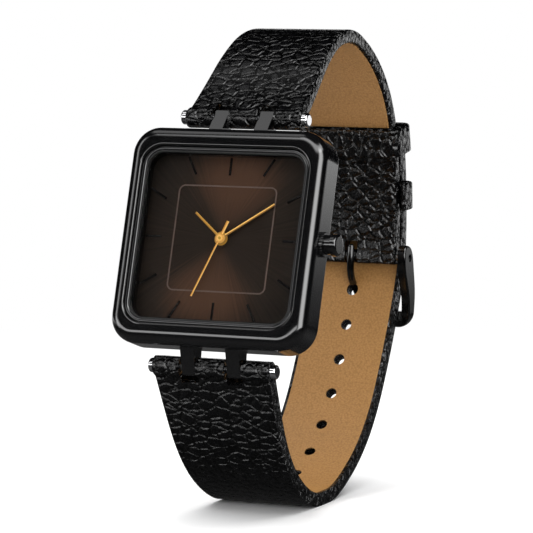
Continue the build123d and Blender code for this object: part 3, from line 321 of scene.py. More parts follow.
@dataclass(frozen=True)
class Moulded(Finish):
    """Moulded plastic, rubber or printed ink: an even colour under a fine dull skin."""

    colour: str = "dcdcd4"
    shade: float = 0.85
    roughness: float = 0.5
    skin_mm: float = 0.4
    skin_strength: float = 0.15

    def build(self) -> Material:
        """Make the moulded material."""
        material, tree, shader = self.start()
        shader.inputs["Roughness"].default_value = self.roughness
        place = add_node(tree, "TexCoord").outputs["Object"]
        self.grain(tree, shader, place, self.skin_mm, self.colour, self.shade, self.skin_strength)
        return material


@dataclass(frozen=True)
class MineralCrystal(Finish):
    """Flat mineral glass: clear straight on, mirror-like at a glance."""

    tint: str = "fbfaf9"
    index: float = 1.5
    roughness: float = 0.02

    def build(self) -> Material:
        """Make the crystal: its outer face mirrors by Fresnel, its inner face only passes light."""
        material, tree = blank(self.name)
        clear = add_node(tree, "BsdfTransparent", {"Color": linear(self.tint)})
        gloss = add_node(tree, "BsdfGlossy", {"Roughness": self.roughness})
        glance = add_node(tree, "Fresnel", {"IOR": self.index})
        side = add_node(tree, "NewGeometry").outputs["Backfacing"]
        outer = add_node(tree, "Math", [1.0, side], operation="SUBTRACT")
        share = add_node(tree, "Math", [glance, outer], operation="MULTIPLY")
        mix = add_node(tree, "MixShader", [share, clear, gloss])
        add_node(tree, "OutputMaterial", {"Surface": mix})
        return material


@dataclass(frozen=True)
class SunrayDial(Finish):
    """Brown lacquered brass, brushed outwards from the middle, with a painted sheen: two broad soft rays of
    lighter brown painted into its colour.

    Each painted ray is faint at the hub, brightest part of the way out and gone near the corners, and the
    whole dial is painted lighter near the middle. The real brushing is too fine to show in the render, so
    its streaks are drawn coarser.
    """

    # The ramp runs from the lacquer's dark brown to the lighter brown of the painted sheen.
    dark: str = "0a0907"
    middle: str = "241d18"
    light: str = "483428"
    roughness: float = 0.36
    metallic: float = 0.1
    gloss: float = 0.12
    middle_stop: float = 0.45
    sheen_ray_turn: float = 8.0
    sheen_ray_range: tuple[float, float] = (-0.7, 1.5)
    swell_mm: float = 10.0
    swell_height: tuple[float, float] = (0.15, 1.15)
    sheen_fall_mm: tuple[float, float] = (7.0, 23.0)
    sheen_fall_height: float = 0.85
    glow: float = 0.42
    brush_turns: float = 26.0
    brush_range: tuple[float, float] = (0.25, 0.75)
    brush_depth: float = 0.12

    def build(self) -> Material:
        """Make the sunray dial material."""
        material, tree, shader = self.start()
        shader.inputs["Roughness"].default_value = self.roughness
        shader.inputs["Metallic"].default_value = self.metallic
        shader.inputs["Specular IOR Level"].default_value = self.gloss
        flat = HEAD.mapping(tree)
        split = add_node(tree, "SeparateXYZ", [flat])
        angle = add_node(tree, "Math", [split.outputs["X"], split.outputs["Y"]], operation="ARCTAN2")
        # Painted sheen: two rays of lighter colour on opposite sides, turned a little from twelve and six
        # o'clock.
        painted_light_phase = add_node(
            tree, "Math", [angle, 2.0, -2 * math.radians(self.sheen_ray_turn)], operation="MULTIPLY_ADD"
        )
        ray = add_node(tree, "Math", [painted_light_phase], operation="COSINE")
        sharp = add_node(
            tree,
            "MapRange",
            [ray, self.sheen_ray_range[0], self.sheen_ray_range[1]],
            interpolation_type="SMOOTHERSTEP",
        )
        reach = add_node(tree, "VectorMath", [flat], operation="LENGTH").outputs["Value"]
        # Painted light: the dial is painted lighter near the middle, fading out towards the corners.
        near, far = self.sheen_fall_mm
        sheen_fall = add_node(
            tree,
            "MapRange",
            [reach, near * MM, far * MM, self.sheen_fall_height, 0.0],
            interpolation_type="SMOOTHSTEP",
        )
        brush = add_node(
            tree,
            "TexNoise",
            {"Scale": self.brush_turns, "Detail": 3.0, "W": angle},
            noise_dimensions="1D",
        ).outputs["Fac"]
        hub, rim = self.swell_height
        swell = add_node(tree, "MapRange", [reach, 0.0, self.swell_mm * MM, hub, rim])
        grown = add_node(tree, "Math", [sharp, swell], operation="MULTIPLY")
        sheen_beam = add_node(tree, "Math", [grown, sheen_fall], operation="MULTIPLY")
        soft = add_node(tree, "Math", [sheen_fall, self.glow, sheen_beam], operation="MULTIPLY_ADD")
        low, high = self.brush_range
        streaked = add_node(tree, "MapRange", [brush, low, high, -self.brush_depth, self.brush_depth])
        total = add_node(tree, "Math", [soft, streaked], operation="ADD")
        ramp = add_node(tree, "ValToRGB", {"Fac": total})
        fill_ramp(ramp, [(0.0, self.dark), (self.middle_stop, self.middle), (1.0, self.light)])
        tree.links.new(ramp.outputs["Color"], shader.inputs["Base Color"])
        return material


@dataclass(frozen=True)
class PebbledLeather(Finish):
    """Full-grain calf pressed with a pebble grain and dyed black: raised cells with glinting shoulders.

    The cells are as large as the photographed ones; finer pores lie on top of them. The creases between the
    cells are painted darker than their tops, as painted shade.
    """

    colour: str = "040405"
    # Painted shade in the creases between the cells.
    painted_crease_shade: str = "010101"
    index: float = 1.5
    gloss: float = 0.4
    coat: float = 0.2
    coat_roughness: float = 0.12
    wander_mm: float = 1.6
    wander: float = 0.9
    widening: float = 0.72
    cell_mm: float = 1.4
    shoulder: tuple[float, float] = (-0.05, 0.24)
    pore_mm: float = 0.2
    pore_height: float = 0.17
    pore_range: tuple[float, float] = (0.3, 0.7)
    roughness: tuple[float, float] = (0.13, 0.32)
    depth_mm: float = 0.3

    def build(self) -> Material:
        """Make the pebbled leather, its pattern fixed to the flat strap."""
        material, tree, shader = self.start()
        shader.inputs["IOR"].default_value = self.index
        shader.inputs["Specular IOR Level"].default_value = self.gloss
        shader.inputs["Coat Weight"].default_value = self.coat
        shader.inputs["Coat Roughness"].default_value = self.coat_roughness
        place = add_node(tree, "Attribute", attribute_name="flat").outputs["Vector"]
        wander = add_node(
            tree, "TexNoise", {"Scale": 1 / self.wander_mm, "Detail": 2.0, "Vector": place}
        ).outputs["Color"]
        shifted = add_node(
            tree, "VectorMath", [wander, (self.wander,) * 3, place], operation="MULTIPLY_ADD"
        )
        wide = add_node(tree, "VectorMath", [shifted, (1.0, 1.0, self.widening)], operation="MULTIPLY")
        cells = add_node(
            tree,
            "TexVoronoi",
            {"Scale": 1 / self.cell_mm, "Randomness": 1.0, "Vector": wide},
            feature="DISTANCE_TO_EDGE",
        ).outputs["Distance"]
        dome = add_node(
            tree, "MapRange", [cells, self.shoulder[0], self.shoulder[1]], interpolation_type="SMOOTHSTEP"
        )
        pores = add_node(
            tree,
            "TexNoise",
            {"Scale": 1 / self.pore_mm, "Detail": 3.0, "Roughness": 0.55, "Vector": place},
        )
        height = add_node(
            tree, "Math", [pores.outputs["Fac"], self.pore_height, dome], operation="MULTIPLY_ADD"
        )
        bump = add_node(tree, "Bump", {"Strength": 1.0, "Distance": self.depth_mm * MM, "Height": height})
        tree.links.new(bump.outputs[0], shader.inputs["Normal"])
        # Painted shade: the creases between the cells are darker than the cell tops.
        tone = add_node(
            tree, "Mix", {6: linear(self.painted_crease_shade), 7: linear(self.colour), 0: dome}, data_type="RGBA"
        )
        tree.links.new(tone.outputs[2], shader.inputs["Base Color"])
        low, high = self.pore_range
        sharp, dull = self.roughness
        rough = add_node(tree, "MapRange", [pores.outputs["Fac"], low, high, sharp, dull])
        tree.links.new(rough.outputs[0], shader.inputs["Roughness"])
        return material


@dataclass(frozen=True)
class TanLining(Finish):
    """Smooth vegetable-tanned lining: warm tan with fine pores and a soft mottle."""

    colour: str = "aa7d46"
    shade: str = "8e6634"
    pore_mm: float = 0.34
    mottle_mm: float = 9.0
    mottle: float = 0.35
    roughness: float = 0.62
    light_stop: float = 0.2
    pore_strength: float = 0.7
    depth_mm: float = 0.07

    def build(self) -> Material:
        """Make the lining leather, its pattern fixed to the flat strap."""
        material, tree, shader = self.start()
        shader.inputs["Roughness"].default_value = self.roughness
        place = add_node(tree, "Attribute", attribute_name="flat")
        mottle = add_node(
            tree,
            "TexNoise",
            {"Scale": 1 / self.mottle_mm, "Detail": 4.0, "Vector": place.outputs["Vector"]},
        ).outputs["Fac"]
        pores = add_node(
            tree, "TexVoronoi", {"Scale": 1 / self.pore_mm, "Vector": place.outputs["Vector"]}
        ).outputs["Distance"]
        blend = add_node(tree, "Math", [mottle, self.mottle, pores], operation="MULTIPLY_ADD")
        ramp = add_node(tree, "ValToRGB", {"Fac": blend})
        fill_ramp(ramp, [(self.light_stop, self.colour), (1.0, self.shade)])
        tree.links.new(ramp.outputs["Color"], shader.inputs["Base Color"])
        bump = add_node(
            tree,
            "Bump",
            {"Strength": self.pore_strength, "Distance": self.depth_mm * MM, "Height": blend},
            invert=True,
        )
        tree.links.new(bump.outputs[0], shader.inputs["Normal"])
        return material


@dataclass(frozen=True)
class Head:
    """The leaning head: the place of its hub in millimetres and its lean in radians."""

    hub_y: float = -20.007
    hub_z: float = 43.928
    lean: float = math.radians(16.7)

    def mapping(self, tree: Tree) -> Node:
        """Add nodes that give a point's place in the head: across, up and out of the dial.

        Args:
            tree: Node tree of a material.

        Returns:
            The mapping node.
        """
        place = add_node(tree, "TexCoord")
        return add_node(
            tree,
            "Mapping",
            {
                "Location": (0.0, self.hub_y * MM, self.hub_z * MM),
                "Rotation": (math.radians(90) - self.lean, 0.0, 0.0),
                "Vector": place.outputs["Object"],
            },
            vector_type="TEXTURE",
        )


HEAD = Head()


@dataclass(frozen=True)
class Station:
    """A place on a strap's centre line, in the side view, with its heading in radians."""

    y: float
    z: float
    heading: float

    def beside(self, distance: float) -> tuple[float, float]:
        """Give the point at a distance to the left."""
        y = self.y - distance * math.sin(self.heading)
        return (y, self.z + distance * math.cos(self.heading))

    def ahead(self, distance: float) -> "Station":
        """Give the station at a distance straight ahead."""
        y = self.y + distance * math.cos(self.heading)
        return Station(y, self.z + distance * math.sin(self.heading), self.heading)


@dataclass
class Route:
    """A strap's centre line: arcs that run on smoothly from station to station."""

    stations: list[Station]

    @classmethod
    def walked(
        cls, start: tuple[float, float], heading: float, nodes: Iterable[tuple[float, float]]
    ) -> "Route":
        """Walk through nodes on arcs.

        Args:
            start: First point (y, z) in millimetres.
            heading: First heading in radians.
            nodes: The points that follow.

        Returns:
            The route.
        """
        stations = [Station(*start, heading)]
        for y, z in nodes:
            last = stations[-1]
            chord = math.atan2(z - last.z, y - last.y)
            turn = (chord - last.heading + math.pi) % (2 * math.pi) - math.pi
            stations.append(Station(y, z, last.heading + 2 * turn))
        return cls(stations)

    @staticmethod
    def arc(first: Station, last: Station) -> tuple[float, float]:
        """Measure the arc between two stations.

        Args:
            first: Where it starts.
            last: Where it ends.

        Returns:
            Its length, and the length of the handles that draw it as a Bezier segment.
        """
        chord = math.hypot(last.y - first.y, last.z - first.z)
        half_turn = (last.heading - first.heading) / 2
        if abs(half_turn) < 1e-9:
            return chord, chord / 3
        radius = chord / 2 / math.sin(half_turn)
        return 2 * radius * half_turn, 4 / 3 * math.tan(half_turn / 2) * radius

    def length(self, until: int | None = None) -> float:
        """Give the length up to a station, or the whole length."""
        pairs = list(zip(self.stations, self.stations[1:]))[:until]
        return sum(self.arc(first, last)[0] for first, last in pairs)

    def curve(self, name: str) -> Object:
        """Draw the route as a flat Bezier curve.

        Args:
            name: The curve's name.

        Returns:
            The curve object, with the side view's Y and Z as its X and Y.
        """
        data = bpy.data.curves.new(name, "CURVE")
        data.dimensions = "2D"
        data.resolution_u = 64
        spline = data.splines.new("BEZIER")
        spline.bezier_points.add(len(self.stations) - 1)
        for index, station in enumerate(self.stations):
            point = spline.bezier_points[index]
            point.handle_left_type = point.handle_right_type = "FREE"
            point.co = (station.y * MM, station.z * MM, 0)
            before = self.arc(self.stations[index - 1], station)[1] if index else 0.0
            last = index == len(self.stations) - 1
            after = 0.0 if last else self.arc(station, self.stations[index + 1])[1]
            for handle, reach in (("handle_left", -before), ("handle_right", after)):
                there = station.ahead(reach)
                setattr(point, handle, (there.y * MM, there.z * MM, 0))
        obj = bpy.data.objects.new(name, data)
        bpy.context.collection.objects.link(obj)
        return obj


class Side(Enum):
    """Which side of a route is the strap's outer side."""

    LEFT = 1
    RIGHT = -1


def remember_flat(obj: Object) -> None:
    """Store each vertex's place, in millimetres, as the attribute that leather patterns follow."""
    mesh = obj.data
    flat = mesh.attributes.new("flat", "FLOAT_VECTOR", "POINT")
    for vertex, value in zip(mesh.vertices, flat.data):
        value.vector = vertex.co / MM


def carve(obj: Object, cutters: list[Object]) -> None:
    """Cut closed solids out of an object and remove them."""
    for cutter in cutters:
        finish_with(obj, "BOOLEAN", object=cutter, operation="DIFFERENCE", solver="EXACT")
        bpy.data.objects.remove(cutter, do_unlink=True)


@dataclass
class StrapHalf:
    """One half of the strap: a black shell of folded leather and a tan lining on its inner side.

    Lengths are in millimetres, and places along the strap start at its bar.
    """

    name: str
    route: Route
    outer: Side
    taper_length: float
    holes: list[float] = field(default_factory=list)
    tongue_hole: float | None = None
    lining_end: float | None = None
    thickness: float = 2.2
    bar_half_width: float = 9.9
    end_half_width: float = 8.0
    tip_half_width: float = 0.1
    knuckle: float = 1.65
    lug_places: tuple[float, float] = (-3.9, 3.9)
    slot_width: float = 3.0
    slot_start: float = -4.0
    slot_reach: float = 2.1
    hole_radius: float = 0.95
    tongue_hole_radius: float = 1.05
    cut_depth: float = 8.0
    punch_depth: float = 6.0
    column: float = 0.4
    rows: int = 22
    edge_round: float = 0.42
    lining_gap: float = 0.2
    lining_inset: float = 0.5
    lining_thickness: float = 0.22
    lining_proud: float = 0.05
    rounded_end: bool = False
    fork_reach: float = 0.0
    fork_width: float = 2.3
    fold_radius: float = 1.2

    def half_width(self, along: float) -> float:
        """Give the half width at a distance from the bar."""
        share = min(max(along / self.taper_length, 0.0), 1.0)
        half = self.bar_half_width + share * (self.end_half_width - self.bar_half_width)
        left = self.route.length() - along
        if self.rounded_end and left < half:
            return math.sqrt(max(half**2 - (half - left) ** 2, self.tip_half_width**2))
        return half

    def half_thickness_share(self, along: float) -> float:
        """Give how thick the shell is at a distance from the bar, as a share of its full thickness."""
        meet = math.sqrt(self.knuckle**2 - (self.thickness / 2) ** 2)
        if along >= meet:
            return 1.0
        return math.sqrt(max(self.knuckle**2 - along**2, 0.05)) / (self.thickness / 2)

    def strip(self, start: float, end: float, middle: float, thickness: float, inset: float) -> Object:
        """Make a flat strip: along X, thick along Y, wide along Z.

        Args:
            start: Where it starts along the route.
            end: Where it ends.
            middle: The middle of its thickness, to the left of the route.
            thickness: Its thickness.
            inset: How far its long edges stay inside the strap's.

        Returns:
            The strip.
        """
        columns = max(int((end - start) / self.column), 4)
        bpy.ops.object.select_all(action="DESELECT")
        bpy.ops.mesh.primitive_grid_add(
            x_subdivisions=columns, y_subdivisions=self.rows, size=1, rotation=(math.pi / 2, 0, 0)
        )
        obj = bpy.context.object
        bpy.ops.transform.resize(value=((end - start) * MM, 1, 2 * MM))
        bpy.ops.transform.translate(value=((start + end) / 2 * MM, middle * MM, 0))
        settle(obj)
        for vertex in obj.data.vertices:
            vertex.co.z *= self.half_width(vertex.co.x / MM) - inset
        finish_with(obj, "SOLIDIFY", thickness=thickness * MM, offset=0.0)
        edge = min(self.edge_round, thickness * 0.45)
        finish_with(obj, "BEVEL", width=edge * MM, segments=3, limit_method="ANGLE", angle_limit=EDGE_ANGLE)
        return obj

    def block(self, start: float, end: float, across: float, width: float) -> Object:
        """Make a cutting block through the flat strip.

        Args:
            start: Where it starts along the strip.
            end: Where it ends.
            across: The middle of its width.
            width: Its width.

        Returns:
            The block.
        """
        bpy.ops.mesh.primitive_cube_add(size=1, location=((start + end) / 2 * MM, 0, across * MM))
        bpy.ops.transform.resize(value=((end - start) * MM, self.cut_depth * MM, width * MM))
        obj = bpy.context.object
        settle(obj)
        return obj

    def punch(self, along: float, radius: float) -> Object:
        """Make a round cutter through the flat strip, at a place along it."""
        bpy.ops.mesh.primitive_cylinder_add(
            vertices=40,
            radius=radius * MM,
            depth=self.punch_depth * MM,
            location=(along * MM, 0, 0),
            rotation=(math.pi / 2, 0, 0),
        )
        obj = bpy.context.object
        settle(obj)
        return obj

    def cutters(self) -> list[Object]:
        """Make the solids that cut the lug slots, the holes and the buckle's gap in the flat strip."""
        bpy.ops.object.select_all(action="DESELECT")
        made = [self.block(self.slot_start, self.slot_reach, at, self.slot_width) for at in self.lug_places]
        made += [self.punch(along, self.hole_radius) for along in self.holes]
        if self.tongue_hole is not None:
            made.append(self.punch(self.tongue_hole, self.tongue_hole_radius))
        if self.fork_reach:
            length, reach = self.route.length(), self.fork_reach
            made.append(self.block(length - reach, length + reach, 0.0, self.fork_width))
        return made

    def bend(self, obj: Object) -> None:
        """Bend a flat strip along the route and stand it in the shared frame."""
        remember_flat(obj)
        guide = self.route.curve(self.name + "_guide")
        finish_with(obj, "CURVE", object=guide, deform_axis="POS_X")
        bpy.data.objects.remove(guide, do_unlink=True)
        obj.matrix_world = SIDE_VIEW
        settle(obj)
        smooth(obj, 40)

    def shell(self) -> Object:
        """Make the black shell, bent and cut."""
        end = self.route.length() + (self.fold_radius if self.fork_reach else 0.0)
        obj = self.strip(-self.knuckle, end, 0.0, self.thickness, 0.0)
        for vertex in obj.data.vertices:
            vertex.co.y *= self.half_thickness_share(vertex.co.x / MM)
        carve(obj, self.cutters())
        obj.name = self.name + "_shell"
        self.bend(obj)
        return obj

    def lining(self) -> Object:
        """Make the tan lining, bent and cut."""
        middle = self.thickness / 2 + self.lining_proud - self.lining_thickness / 2
        end = self.lining_end or self.route.length() - self.lining_inset
        start = self.slot_reach + self.lining_gap
        obj = self.strip(start, end, -self.outer.value * middle, self.lining_thickness, self.lining_inset)
        carve(obj, self.cutters())
        obj.name = self.name + "_tan"
        self.bend(obj)
        return obj


@dataclass
class Keeper:
    """A leather loop round the lapped straps, set square to them."""

    name: str
    station: Station
    open_below: bool
    lap: float = 2.5
    strap_half_width: float = 8.0
    strap_thickness: float = 2.2
    gap: float = 0.36
    outer_gap: float = 0.34
    wall: float = 0.8
    height: float = 4.7
    corner: float = 0.9
    edge_round: float = 0.42

    def open_ends(self, obj: Object) -> None:
        """Delete the box's end faces, and its lower face where the loop is open below."""
        bpy.ops.object.mode_set(mode="EDIT")
        bpy.ops.mesh.select_mode(type="FACE")
        bpy.ops.mesh.select_all(action="DESELECT")
        bpy.ops.object.mode_set(mode="OBJECT")
        for polygon in obj.data.polygons:
            ends = abs(polygon.normal.z) > 0.9
            polygon.select = ends or (self.open_below and polygon.normal.y < -0.9)
        bpy.ops.object.mode_set(mode="EDIT")
        bpy.ops.mesh.delete(type="FACE")
        bpy.ops.object.mode_set(mode="OBJECT")

    def stand(self) -> Matrix:
        """Give the turn and place that set the loop square to the strap at its station."""
        heading = self.station.heading
        place = Matrix.Identity(4)
        place.col[1][:3] = (0, -math.sin(heading), math.cos(heading))
        place.col[2][:3] = (0, -math.cos(heading), -math.sin(heading))
        place.col[3][:3] = (0, self.station.y * MM, self.station.z * MM)
        return place

    def build(self) -> Object:
        """Make the loop from a box without ends, given its wall and soft edges."""
        inner_half = self.strap_half_width + self.gap
        low = 0.0 if self.open_below else -self.strap_thickness / 2 - self.gap
        high = self.lap + self.strap_thickness / 2 + self.outer_gap
        bpy.ops.object.select_all(action="DESELECT")
        bpy.ops.mesh.primitive_cube_add(size=1, location=(0, (low + high) / 2 * MM, 0))
        obj = bpy.context.object
        bpy.ops.transform.resize(value=(2 * inner_half * MM, (high - low) * MM, self.height * MM))
        settle(obj)
        self.open_ends(obj)
        finish_with(obj, "BEVEL", width=self.corner * MM, segments=6, limit_method="ANGLE")
        edge = self.edge_round * MM
        finish_with(obj, "SOLIDIFY", thickness=self.wall * MM, offset=1.0, use_even_offset=True)
        finish_with(obj, "BEVEL", width=edge, segments=4, limit_method="ANGLE", angle_limit=EDGE_ANGLE)
        choose(obj)
        bpy.ops.object.mode_set(mode="EDIT")
        bpy.ops.mesh.select_all(action="SELECT")
        bpy.ops.mesh.subdivide(number_cuts=2)
        bpy.ops.object.mode_set(mode="OBJECT")
        remember_flat(obj)
        obj.name = self.name
        obj.matrix_world = self.stand()
        settle(obj)
        smooth(obj, 50)
        return obj


@dataclass
class Straps:
    """Both strap halves and both keepers, with the side-view routes that the solids follow."""

    depth: float = 57.0
    height: float = 76.0
    thickness: float = 2.2
    lap: float = 2.5
    stand_flat: float = 3.0
    tip_length: float = 5.0
    hole_count: int = 7
    hole_pitch: float = 6.3
    hole_drop: float = 6.1
    start_heading: float = 37.3
    short_taper: float = 32.0
    long_taper: float = 45.0
    fork_reach: float = 2.55
    keeper_height: float = 4.8
    fold_room: float = 0.4
    fixed_share: float = 0.48
    bar_up: tuple[float, float] = (-11.4965, 62.0988)
    bar_down: tuple[float, float] = (-22.9047, 24.0733)

    def places(self, *shares: tuple[float, float]) -> list[tuple[float, float]]:
        """Give the side-view points of shares of the loop's depth and height."""
        return [(y * self.depth, z * self.height) for y, z in shares]

    def short_route(self) -> Route:
        """Give the centre line of the short strap, from its bar to the buckle's pin."""
        nodes = self.places(
            (-0.0598, 0.9046), (0.0317, 0.9540), (0.2750, 0.9632), (0.4245, 0.8794), (0.5109, 0.7431),
            (0.5228, 0.4886),
        )
        return Route.walked(self.bar_up, math.radians(self.start_heading), nodes)

    def long_route(self, short: Route) -> Route:
        """Give the centre line of the long strap, from its bar to its tip.

        Args:
            short: The short strap's route, which the long one laps.

        Returns:
            The long strap's route.
        """
        flat = self.stand_flat / 2
        low = self.thickness / 2
        front = self.places((-0.1017, 0.0255), (-0.2847, 0.1374), (-0.3304, 0.1976))
        forward = Route.walked((-flat, low), math.pi, front + [self.bar_down])
        back = self.places((0.0893, 0.0212), (0.3375, 0.1420), (0.4006, 0.2082), (0.5533, 0.4440))
        laps = [short.stations[-1].beside(self.lap), short.stations[-2].beside(self.lap)]
        rear = Route.walked((flat, low), 0.0, back + laps)
        start = []
        for station in reversed(forward.stations):
            heading = station.heading + math.pi
            heading = (heading + math.pi) % (2 * math.pi) - math.pi
            start.append(Station(station.y, station.z, heading))
        return Route(start + rear.stations + [rear.stations[-1].ahead(self.tip_length)])

    @staticmethod
    def hang(obj: Object, finish: Material, body: str, node: str, slot: str) -> None:
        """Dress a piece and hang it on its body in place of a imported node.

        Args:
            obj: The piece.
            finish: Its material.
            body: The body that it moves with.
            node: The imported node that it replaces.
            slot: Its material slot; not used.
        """
        obj.data.materials.append(finish)
        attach(obj, body)
        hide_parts(node)
        LOG.info("%s: %d faces", obj.name, len(obj.data.polygons))

    def build(self, black: Material, tan: Material) -> None:
        """Make the straps and keepers, dress them and hang them on their bodies.

        Args:
            black: The pebbled leather.
            tan: The lining leather.
        """
        short = self.short_route()
        long = self.long_route(short)
        to_lap = long.length(len(long.stations) - 3)
        holes = [to_lap - self.hole_drop - k * self.hole_pitch for k in range(1, self.hole_count)]
        keeper_station, pin_station = short.stations[-2:]
        last_run = short.arc(keeper_station, pin_station)[0]
        fold_start = short.length() - last_run - self.keeper_height / 2 - self.fold_room
        upper = StrapHalf("short_strap", short, Side.LEFT, self.short_taper)
        upper.lining_end = fold_start
        upper.fork_reach = self.fork_reach
        lower = StrapHalf("long_strap", long, Side.RIGHT, self.long_taper, holes)
        lower.tongue_hole = to_lap - self.hole_drop
        lower.rounded_end = True
        for half in (upper, lower):
            shell, lining = half.shell(), half.lining()
            self.hang(shell, black, half.name, half.name + "_leather", "strap_leather")
            self.hang(lining, tan, half.name, half.name + "_lining", "lining_leather")
        fixed_station = self.between(keeper_station, pin_station, self.fixed_share)
        for name, station, open_below, body, node in (
            ("free_loop", keeper_station, False, "keeper", "free_keeper"),
            ("fixed_loop", fixed_station, True, "short_strap", "fixed_keeper"),
        ):
            self.hang(Keeper(name, station, open_below).build(), black, body, node, "strap_leather")

    @staticmethod
    def between(first: Station, last: Station, share: float) -> Station:
        """Give the station at a share of the arc between two others.

        Args:
            first: Where the arc starts.
            last: Where it ends.
            share: How far along, from 0 to 1.

        Returns:
            The station.
        """
        turn = last.heading - first.heading
        radius = Route.arc(first, last)[0] / turn
        heading = first.heading + turn * share
        return Station(
            first.y + radius * (math.sin(heading) - math.sin(first.heading)),
            first.z - radius * (math.cos(heading) - math.cos(first.heading)),
            heading,
        )


@dataclass
class Dressing:
    """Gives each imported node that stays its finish."""

    finishes: list[tuple[Finish, list[str]]]

    def build(self) -> None:
        """Dress the nodes."""
        for finish, nodes in self.finishes:
            material = finish.build()
            for node in nodes:
                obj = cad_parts[node]
                if not obj.material_slots:
                    obj.data.materials.append(material)
                for slot in obj.material_slots:
                    slot.material = material
                LOG.info("%s: %s", node, material.name)


@dataclass(frozen=True)
class Card:
    """A soft-edged rectangle of light round the watch, placed by its turn from the front and its rise."""

    turn: tuple[float, float]
    rise: tuple[float, float]
    strength: float
    edge: float

    @staticmethod
    def step(tree: Tree, value: Socket, start: float, end: float) -> Socket:
        """Make a smooth step between two angles.

        Args:
            tree: Node tree of the world.
            value: The angle in radians.
            start: Where the step is at zero, in degrees.
            end: Where it is at one, in degrees.

        Returns:
            The step's output.
        """
        low, high = sorted((math.radians(start), math.radians(end)))
        first, last = (1.0, 0.0) if start > end else (0.0, 1.0)
        return add_node(
            tree, "MapRange", [value, low, high, first, last], interpolation_type="SMOOTHSTEP"
        ).outputs[0]

    def draw(self, tree: Tree, turn: Socket, rise: Socket) -> Socket:
        """Add the card's nodes.

        Args:
            tree: Node tree of the world.
            turn: Angle round from the front, in radians.
            rise: Angle above the horizon, in radians.

        Returns:
            The card's brightness in each direction.
        """
        factors = []
        for value, (low, high) in ((turn, self.turn), (rise, self.rise)):
            factors.append(self.step(tree, value, low - self.edge, low))
            factors.append(self.step(tree, value, high + self.edge, high))
        product = factors[0]
        for factor in factors[1:] + [self.strength]:
            product = add_node(tree, "Math", [product, factor], operation="MULTIPLY").outputs[0]
        return product


